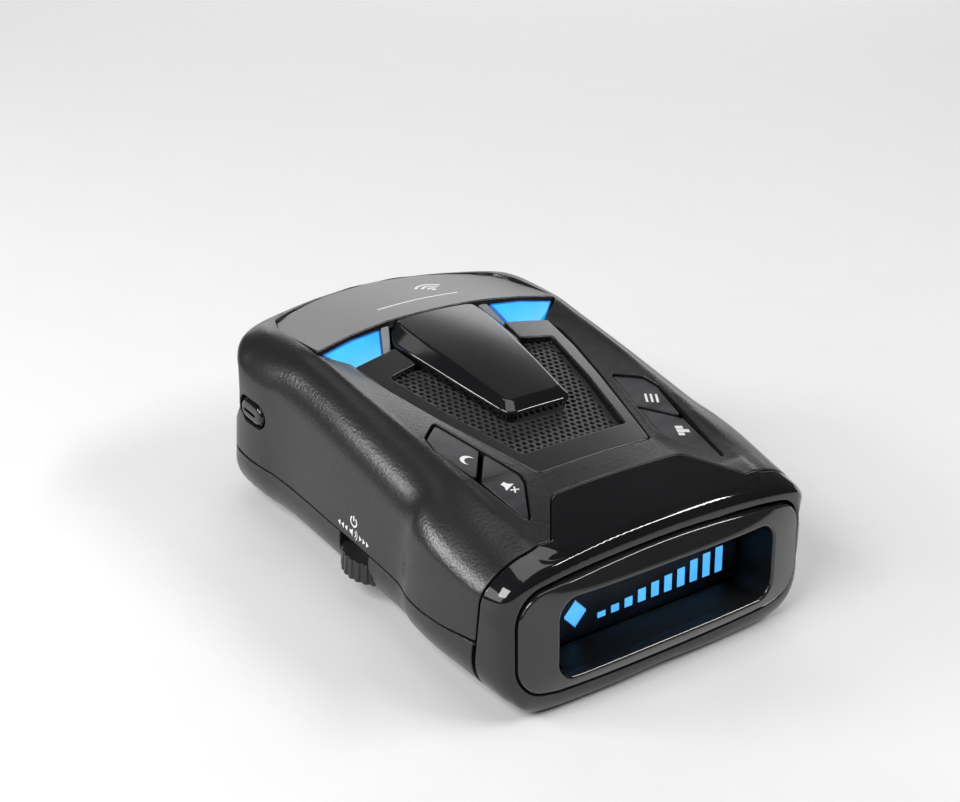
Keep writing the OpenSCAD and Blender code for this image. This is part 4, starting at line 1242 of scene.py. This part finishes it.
# ---- Alert lights ----------------------------------------------------------------------------
LENS_TOP = [[22.5, 65.8, 33.6], [27.3, 68, 36.2], [20, 69.5, 36.9], [11.6, 70.7, 37.1], [12.9, 66.6, 34.4]]
LENS_BLUE = [[22.9, 64.2], [27.65, 68.1], [20, 69.72], [12.6, 70.75], [14.9, 65.75]]
LENS_END = [[14.85, 65.8], [12.55, 70.8], [10.5, 71.0], [12.95, 66.1]]


def lens_height(x, y):
    """A smooth sheet through the corners of the lens."""
    a = np.array([[1, p[0] - 19, p[1] - 68] for p in LENS_TOP])
    k, *_ = np.linalg.lstsq(a, np.array([p[2] for p in LENS_TOP]), rcond=None)
    return k[0] + k[1] * (x - 19) + k[2] * (y - 68)


for side, tag in ((1, "right"), (-1, "left")):
    sheet = Sheet(lambda x, y, s=side: np.stack([x, y, lens_height(x * s, y) + 0.25
                                                - 0.02 * (y - 68) ** 2 - 0.0015 * (x * s - 19) ** 2], 1))
    b = panel(sheet, [outline(sided(LENS_BLUE, side), 0.35, -0.05)], 1.6, lip=0.5, spacing=0.8, lip_zone=1)
    b.make("alert_light_" + tag, "alert_blue alert_rim", replaces=["alert_lens_" + tag], slot="alert_blue")
    b = panel(sheet, [outline(sided(LENS_END, side), 0.25, -0.04, 0.7)], 1.6, lip=0.2, spacing=0.8)
    b.make("alert_end_" + tag, "frosted", replaces=["alert_lens_" + tag], slot="alert_blue")


# ---- CAD pieces whose edges are only softened -------------------------------------------------
def soft_copy(node, width, body="housing", material=None, angle=25):
    source = nodes[node]
    mesh = source.data.copy()
    mesh.name = node + "_soft"
    ob = linked(node + "_soft", mesh)
    bm = bmesh.new()
    bm.from_mesh(mesh)
    bmesh.ops.remove_doubles(bm, verts=bm.verts, dist=2e-6)
    bmesh.ops.dissolve_limit(bm, angle_limit=math.radians(1), verts=bm.verts, edges=bm.edges)
    bm.to_mesh(mesh)
    bm.free()
    mesh.materials.clear()
    mesh.materials.append(M[material or SLOT_OF[node]])
    return softened(ob, width, body, [node], angle)


soft_copy("volume_wheel", 0.12, "volume_wheel", "rib_black", 40)
soft_copy("release_button", 0.5, "release", "gloss_black", 40)
b = Build()
rim_of = np.array(pill(7.5, 3.9))
spine = np.stack([np.clip(rim_of[:, 0], -1.8, 1.8), 0 * rim_of[:, 0]], 1)
ring, rn = None, None
for k, x, out in ((1, -35.5, 0.1), (0.95, -36.1, 0.3), (0.8, -36.5, 0.7), (0.5, -36.72, 0.92),
                  (0.15, -36.8, 1)):
    p = spine + (rim_of - spine) * k
    new = b.add([(x, BUTTON_Y + q[0], BUTTON_Z + q[1]) for q in p])
    away = unit(rim_of - spine) * (1 - out)
    n = unit(np.stack([np.full(len(p), -out), away[:, 0], away[:, 1]], 1))
    if ring is None:
        b.face(new[::-1], (1, 0, 0))
    else:
        b.strip(ring, new, rn, n, True)
    ring, rn = new, n
b.face(ring, (-1, 0, 0))
b.make("release_cap", "gloss_black", body="release", slot="gloss_black")
soft_copy("rear_window", 0.2)
soft_copy("power_jack", 0.15)
soft_copy("bracket_socket", 0.2)
soft_copy("wheel_bracket", 0.2)
soft_copy("rating_label", 0.05)

# ---- Spring: a steel copy of the CAD spring, fixed to the housing ------------------------------
source = nodes["release_spring"]
coil = linked("release_coil", source.data.copy())
coil.matrix_world = source.matrix_world
coil.data.materials.clear()
coil.data.materials.append(M["steel"])
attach(coil, "housing")
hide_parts("release_spring")
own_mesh(coil)

# ---- Floor, light and camera ----------------------------------------------------------------
def area(name, toward, distance, size, power, target=(0, 0, 0.02)):
    data = bpy.data.lights.new(name, "AREA")
    data.shape = "RECTANGLE"
    data.size, data.size_y = size
    data.energy = power
    ob = linked(name, data)
    way = Vector(toward).normalized()
    ob.location = Vector(target) + way * distance
    ob.rotation_euler = way.to_track_quat("Z", "Y").to_euler()


def floor():
    mesh = bpy.data.meshes.new("studio_floor")
    w = 3.0
    mesh.from_pydata([(-w, -w, 0), (w, -w, 0), (w, w, 0), (-w, w, 0)], [], [(0, 1, 2, 3)])
    ob = linked("studio_floor", mesh)
    ob.location.z = cad_box[0].z - 0.0002
    ob.data.materials.append(moulded("paper", (0.74, 0.74, 0.74), 0.75, grain=300, tint=0.01,
                                     strength=0.2))


floor()
world = bpy.data.worlds.new("studio")
scene.world = world
world.use_nodes = True
world.node_tree.nodes["Background"].inputs["Color"].default_value = (1, 1, 1, 1)
world.node_tree.nodes["Background"].inputs["Strength"].default_value = 0.07
area("overhead", (0.1, 0.0, 1), 1.0, (0.6, 0.6), 2.1)
area("shoulder_strip", (-0.80, 0.44, 0.41), 0.7, (0.2, 0.1), 1.4)
area("low_rear_right", (0.554, 0.789, 0.19), 0.8, (1.0, 0.2), 1.25)
area("mid_rear_right", (0.554, 0.75, 0.45), 0.85, (0.8, 0.13), 1.2)
area("high_rear_left", (-0.17, 0.62, 0.77), 0.9, (0.35, 0.12), 0.15)
area("square_front_left", (-0.70, -0.12, 0.68), 0.6, (0.34, 0.2), 2.2)
area("strip_front_right", (0.554, -0.436, 0.673), 0.7, (0.4, 0.05), 2.2)
area("left_fill", (-1, 0.1, 0.45), 0.7, (0.6, 0.3), 1.5)

right, up, back = (0.8029, -0.5917, 0.0724), (0.2208, 0.4080, 0.8860), (-0.5537, -0.6954, 0.4582)
camera = linked("camera", bpy.data.cameras.new("camera"))
turned = Matrix((right, up, back)).transposed().to_4x4()
camera.matrix_world = Matrix.Translation((-0.1684, -0.2026, 0.1654)) @ turned
camera.data.sensor_width = 36
camera.data.lens = 59.8
camera.data.clip_start = 0.01
scene.camera = camera
